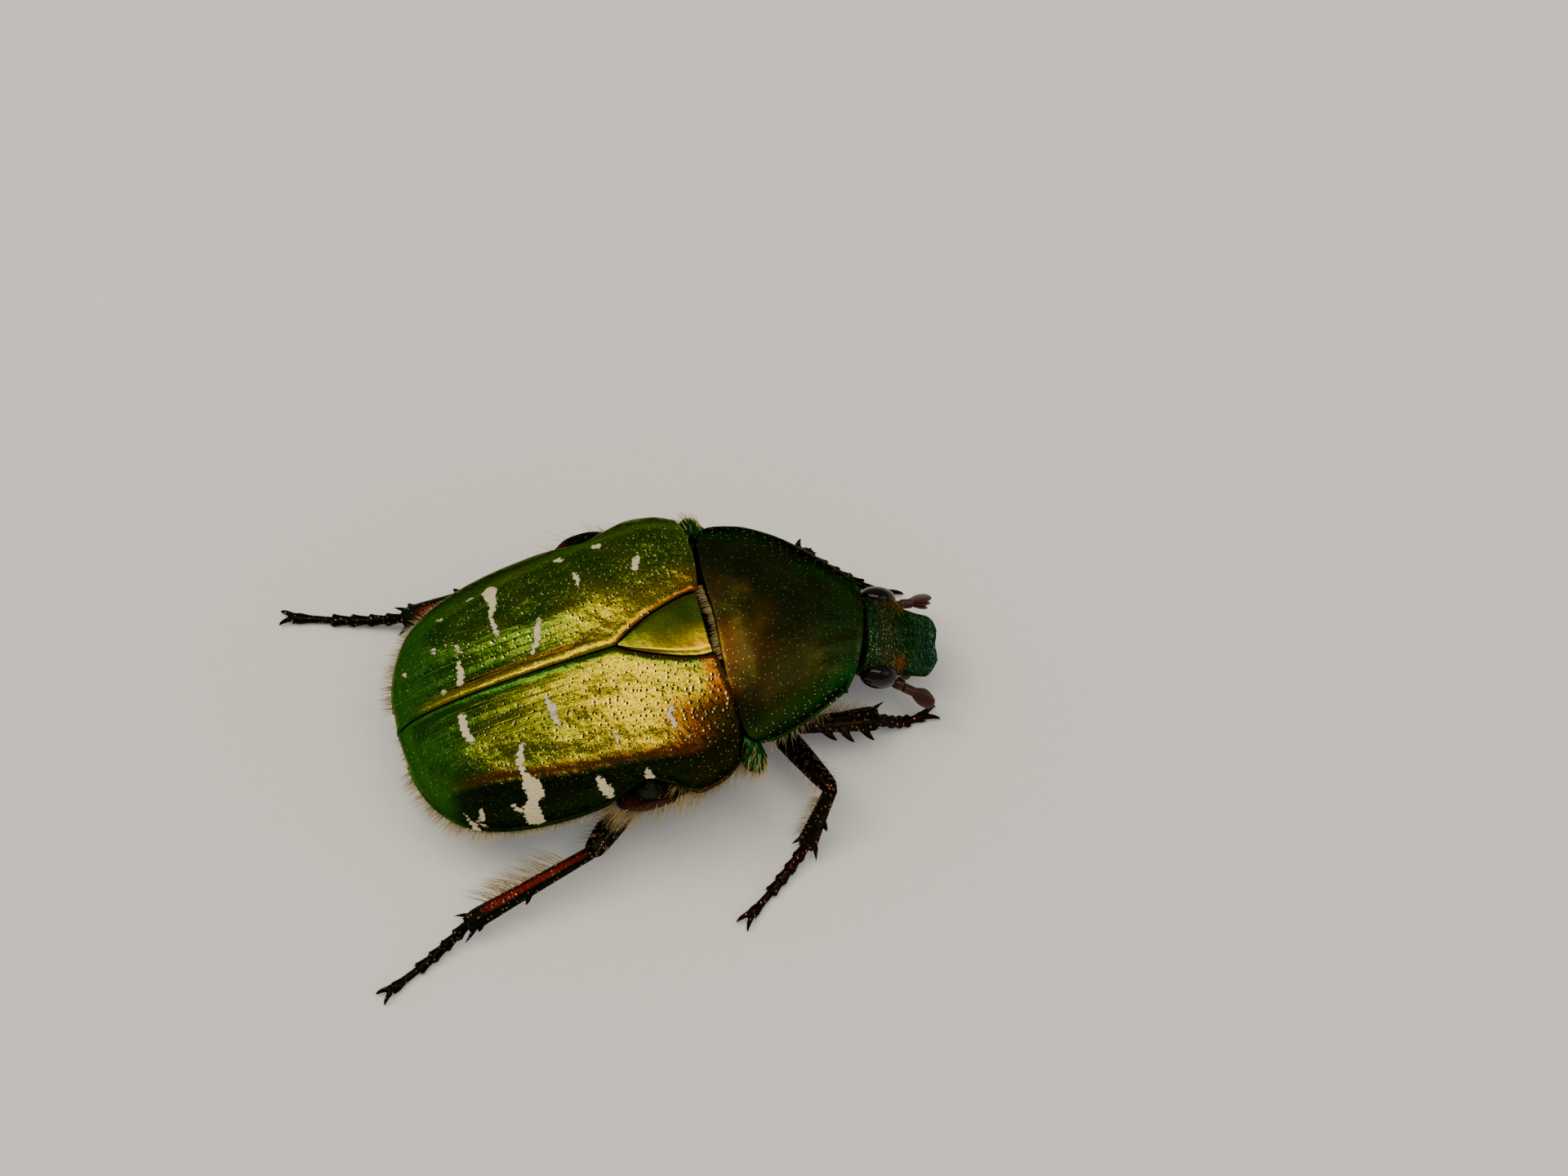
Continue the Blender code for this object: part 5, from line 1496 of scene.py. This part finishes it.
class CHAFER_OT_hair(bpy.types.Operator):
    """Golden hair on flanks, belly, legs and round the wing cases"""

    bl_idname = "chafer.hair"
    bl_label = "Hair"

    def execute(self, context):
        sizes = context.scene.chafer_sizes
        material = hair_material(context.scene.chafer_colours.hair)
        rng = np.random.default_rng(sizes.seed)

        def coat(name, skin, slot, count, density, length, lie, stand, bend, axis):
            """Hair over a skin: how it lies, back, out and up, and how far it stands up and bends."""
            roots, normals = skin_roots(skin, count, density, sizes.seed + len(name))
            back = columns(lie[0], lie[1] * np.sign(roots[:, 1]), lie[2])
            way = normals * stand + back * (1 - stand) + rng.normal(0, 0.13, roots.shape)
            lengths = sizes.hair_length * length * (0.45 + 0.65 * rng.random(count))
            droop = unit_rows(back + rng.normal(0, 0.2, roots.shape))
            grow_hair(
                name, slot, material, roots - normals * 0.02, way, lengths, droop, bend, sizes.hair_thickness,
                round_unwrap(roots, *axis),
            )

        coat("thorax_hair", "thorax_skin", "underside", THORAX_HAIRS, thorax_density, 0.95,
             (-0.8, 0.25, -0.35), 0.5, 0.3, BODY_AXIS)
        coat("prosternum_hair", "prosternum_skin", "underside", PROSTERNUM_HAIRS, prosternum_density, 0.7,
             (-0.3, 0.2, -0.6), 0.6, 0.3, BODY_AXIS)
        coat("abdomen_hair", "abdomen_skin", "underside", ABDOMEN_HAIRS, abdomen_density, 0.45,
             (-0.7, 0.4, -0.1), 0.55, 0.2, BODY_AXIS)
        for side, _ in SIDES:
            coat(f"{side}_side_plate_hair", f"{side}_side_plate_skin", "side_plate", SIDE_PLATE_HAIRS,
                 side_plate_density, 0.42, (-0.5, 0.8, -0.1), 0.3, 0.2, SIDE_PLATE_AXIS)
        for side, sign in SIDES:
            self.margin_fringe(f"{side}_margin_fringe", sign, sizes, material, rng)
        self.brush(sizes, material, rng)
        for leg in LEG_JOINTS:
            self.leg_hair(leg, sizes, material, rng)
        return {"FINISHED"}

    def margin_fringe(self, name, sign, sizes, material, rng):
        """Hair in a line under the rear margin of a wing case."""
        spots = rng.uniform(0.42, 0.995, MARGIN_HAIRS)
        x = np.interp(spots, *wing_case_rows())
        half = wing_case_half_width(x)
        out = columns(-ramp(-x, 8.0, 10.4) * 1.4, sign * (1.0 - 0.6 * ramp(-x, 9.5, 10.6)), -0.35)
        roots = columns(x + wing_case_end_bow(x, half), sign * half, wing_case_height(x, half) - 0.12)
        roots = roots - unit_rows(out) * 0.12
        ways = unit_rows(out) + rng.normal(0, 0.12, roots.shape)
        lengths = sizes.hair_length * (0.3 + 0.4 * rng.random(MARGIN_HAIRS))
        lengths = lengths * (0.55 + 0.45 * ramp(-x, 7.0, 9.5))
        lie = unit(np.array((-0.6, 0.0, -0.3)))
        unwrap = (spots, rng.random(MARGIN_HAIRS))
        grow_hair(name, "wing_case", material, roots, ways, lengths, lie, 0.25, sizes.hair_thickness, unwrap)

    def brush(self, sizes, material, rng):
        """Short hair from under the pronotum's base, over the front of the scutellum."""
        across = rng.uniform(-1, 1, BRUSH_HAIRS)
        x = PRONOTUM_BASE + 0.12 + 0.18 * bell(across, 0, 0.5) + rng.normal(0, 0.02, BRUSH_HAIRS)
        y = across * 1.35 - 0.05
        roots = columns(x, y, wing_case_height(np.minimum(x, 0.3), np.abs(y)) - 0.16)
        ways = columns(-1.0, 0.05 * across, 0.28) + rng.normal(0, 0.12, roots.shape)
        lengths = 0.3 * (0.7 + 0.5 * rng.random(BRUSH_HAIRS))
        lie = unit(np.array((-0.3, 0, -0.6)))
        unwrap = (0.5 + 0.47 * across, 0.1 + 0.84 * rng.random(BRUSH_HAIRS))
        grow_hair(
            "scutellum_brush", "pronotum", material, roots, ways, lengths, lie, 0.3,
            sizes.hair_thickness * 1.1, unwrap,
        )

    def leg_hair(self, leg, sizes, material, rng):
        """A fringe inside the shin, long on a hind leg, and short bristles all round the thigh."""
        start, knee, ankle = leg_points(leg)[:3]
        along, out = unit(ankle - knee), unit(knee - start)
        inward = -away_from_body(along, ankle)
        hind = leg.endswith("hind")
        count, scale = (HIND_SHIN_HAIRS, 1.15) if hind else (SHIN_HAIRS, 0.55)
        shares = rng.uniform(0.2, 0.8, count)[:, None]
        shin_roots = knee + (ankle - knee) * shares + inward * TIBIA_RADII[leg] * 0.6
        shin_roots = shin_roots + rng.normal(0, 0.06, (count, 3))
        shin_ways = inward * 1.0 + along * 0.75 + (0, 0, 0.25) + rng.normal(0, 0.1, (count, 3))
        shin_lengths = sizes.hair_length * scale * (0.65 + 0.5 * rng.random(count))
        shares = rng.uniform(0.15, 0.95, THIGH_HAIRS)[:, None]
        turn = rng.uniform(0, 2 * math.pi, THIGH_HAIRS)[:, None]
        across = unit(np.cross(out, UP))
        ring = across * np.cos(turn) + np.cross(across, out) * np.sin(turn) * 0.8
        roots = start + (knee - start) * shares + ring * FEMUR_RADII[leg] * 0.75
        ways = ring + out * 0.8 + rng.normal(0, 0.15, ring.shape)
        lengths = sizes.hair_length * 0.5 * (0.6 + 0.5 * rng.random(THIGH_HAIRS))
        roots, ways = np.concatenate([shin_roots, roots]), np.concatenate([shin_ways, ways])
        grow_hair(
            f"{leg}_hair", "leg", material, roots, ways, np.concatenate([shin_lengths, lengths]),
            unit(along + (0, 0, -0.4)), 0.3, sizes.hair_thickness * 0.9, round_unwrap(roots, knee, ankle),
        )


def card_material():
    """Matt card: uncoated white paper board, so light falls off it evenly with no gloss."""
    material, node = new_material("floor_card_matt")
    place = node("TexCoord", out=3)
    fibre = node("TexNoise", {"Vector": place, "Scale": 1 / 0.4 / MM, "Detail": 4.0})
    shades = {6: rgba(linear("#eae7e1")), 7: rgba(linear("#f2efe9"))}
    tone = node("Mix", {0: fibre, **shades}, out=2, data_type="RGBA")
    shader = node("BsdfPrincipled", {"Base Color": tone, "Roughness": 0.85})
    node("OutputMaterial", {"Surface": shader})
    return material


class CHAFER_OT_stage(bpy.types.Operator):
    """Pale floor, soft studio light and the camera"""

    bl_idname = "chafer.stage"
    bl_label = "Stage"

    def execute(self, context):
        bpy.ops.object.select_all(action="DESELECT")
        bpy.ops.mesh.primitive_plane_add(size=FLOOR_SIZE, location=(0, 0, 0))
        floor = bpy.context.object
        floor.name = "studio_floor"
        floor.data.materials.append(card_material())
        floor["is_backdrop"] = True

        world = bpy.data.worlds.new("studio")
        context.scene.world = world
        world.use_nodes = True
        background = world.node_tree.nodes["Background"]
        background.inputs["Color"].default_value = rgba(linear("#c9ced2"))
        background.inputs["Strength"].default_value = 0.48
        for name, lamp in LAMPS.items():
            self.lamp(name, *lamp)
        self.camera(context.scene)
        return {"FINISHED"}

    def lamp(self, name, direction, distance, size, power, tint):
        light = bpy.data.lights.new(name, "AREA")
        light.shape = "RECTANGLE"
        light.size, light.size_y = size
        light.energy = power
        light.color = linear(tint)
        obj = bpy.data.objects.new(name, light)
        way = Vector(direction).normalized()
        obj.location = way * distance
        obj.rotation_euler = way.to_track_quat("Z", "Y").to_euler()
        bpy.context.scene.collection.objects.link(obj)

    def camera(self, scene):
        """Looks down on the beetle, a little from its right side, with the photograph's framing."""
        fore, up = Vector((1, 0, 0)), Vector((0, math.cos(CAMERA_TILT), math.sin(CAMERA_TILT)))
        back = Vector((0, -math.sin(CAMERA_TILT), math.cos(CAMERA_TILT)))
        image_right = fore * math.cos(CAMERA_ROLL) - up * math.sin(CAMERA_ROLL)
        image_up = fore * math.sin(CAMERA_ROLL) + up * math.cos(CAMERA_ROLL)
        ahead, upwards, height = CAMERA_AIM
        centre = Vector(STAND * MM) + Vector((0, 0, height * MM)) + (fore * ahead + up * upwards) * MM
        camera = bpy.data.objects.new("camera", bpy.data.cameras.new("camera"))
        lens_to_sensor = CAMERA_DISTANCE / (PHOTO_WIDTH_PIXELS / PIXELS_TO_A_MM)
        camera.data.lens = camera.data.sensor_width * lens_to_sensor
        camera.data.clip_start, camera.data.clip_end = 0.01, 10
        matrix = Matrix((image_right, image_up, back)).transposed().to_4x4()
        camera.matrix_world = Matrix.Translation(centre + back * CAMERA_DISTANCE * MM) @ matrix
        scene.collection.objects.link(camera)
        scene.camera = camera


BUILDERS = (
    CHAFER_OT_stage,
    CHAFER_OT_underside,
    CHAFER_OT_wing_cases,
    CHAFER_OT_scutellum,
    CHAFER_OT_pronotum,
    CHAFER_OT_side_plates,
    CHAFER_OT_head,
    CHAFER_OT_eyes,
    CHAFER_OT_feelers,
    CHAFER_OT_legs,
    CHAFER_OT_hair,
)


class CHAFER_PT_panel(bpy.types.Panel):
    """Lists the beetle's colours, sizes and builders"""

    bl_idname = "CHAFER_PT_panel"
    bl_label = "Rose Chafer"
    bl_space_type = "VIEW_3D"
    bl_region_type = "UI"
    bl_category = "Chafer"

    def draw(self, context):
        for group in (context.scene.chafer_colours, context.scene.chafer_sizes):
            for name in group.bl_rna.properties.keys():
                if name not in ("rna_type", "name"):
                    self.layout.prop(group, name)
        for builder in BUILDERS:
            self.layout.operator(builder.bl_idname)


CLASSES = (ChaferColours, ChaferSizes, *BUILDERS, CHAFER_PT_panel)


def register():
    for cls in CLASSES:
        bpy.utils.register_class(cls)
    bpy.types.Scene.chafer_colours = PointerProperty(type=ChaferColours)
    bpy.types.Scene.chafer_sizes = PointerProperty(type=ChaferSizes)


def unregister():
    del bpy.types.Scene.chafer_sizes
    del bpy.types.Scene.chafer_colours
    for cls in reversed(CLASSES):
        bpy.utils.unregister_class(cls)


def main():
    register()
    for builder in BUILDERS:
        group, name = builder.bl_idname.split(".")
        getattr(getattr(bpy.ops, group), name)()
    boxes = {"frame": FRAME_BOX, "visual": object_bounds()}
    boxes = {name: [list(corner) for corner in box] for name, box in boxes.items()}


if __name__ == "__main__":
    main()
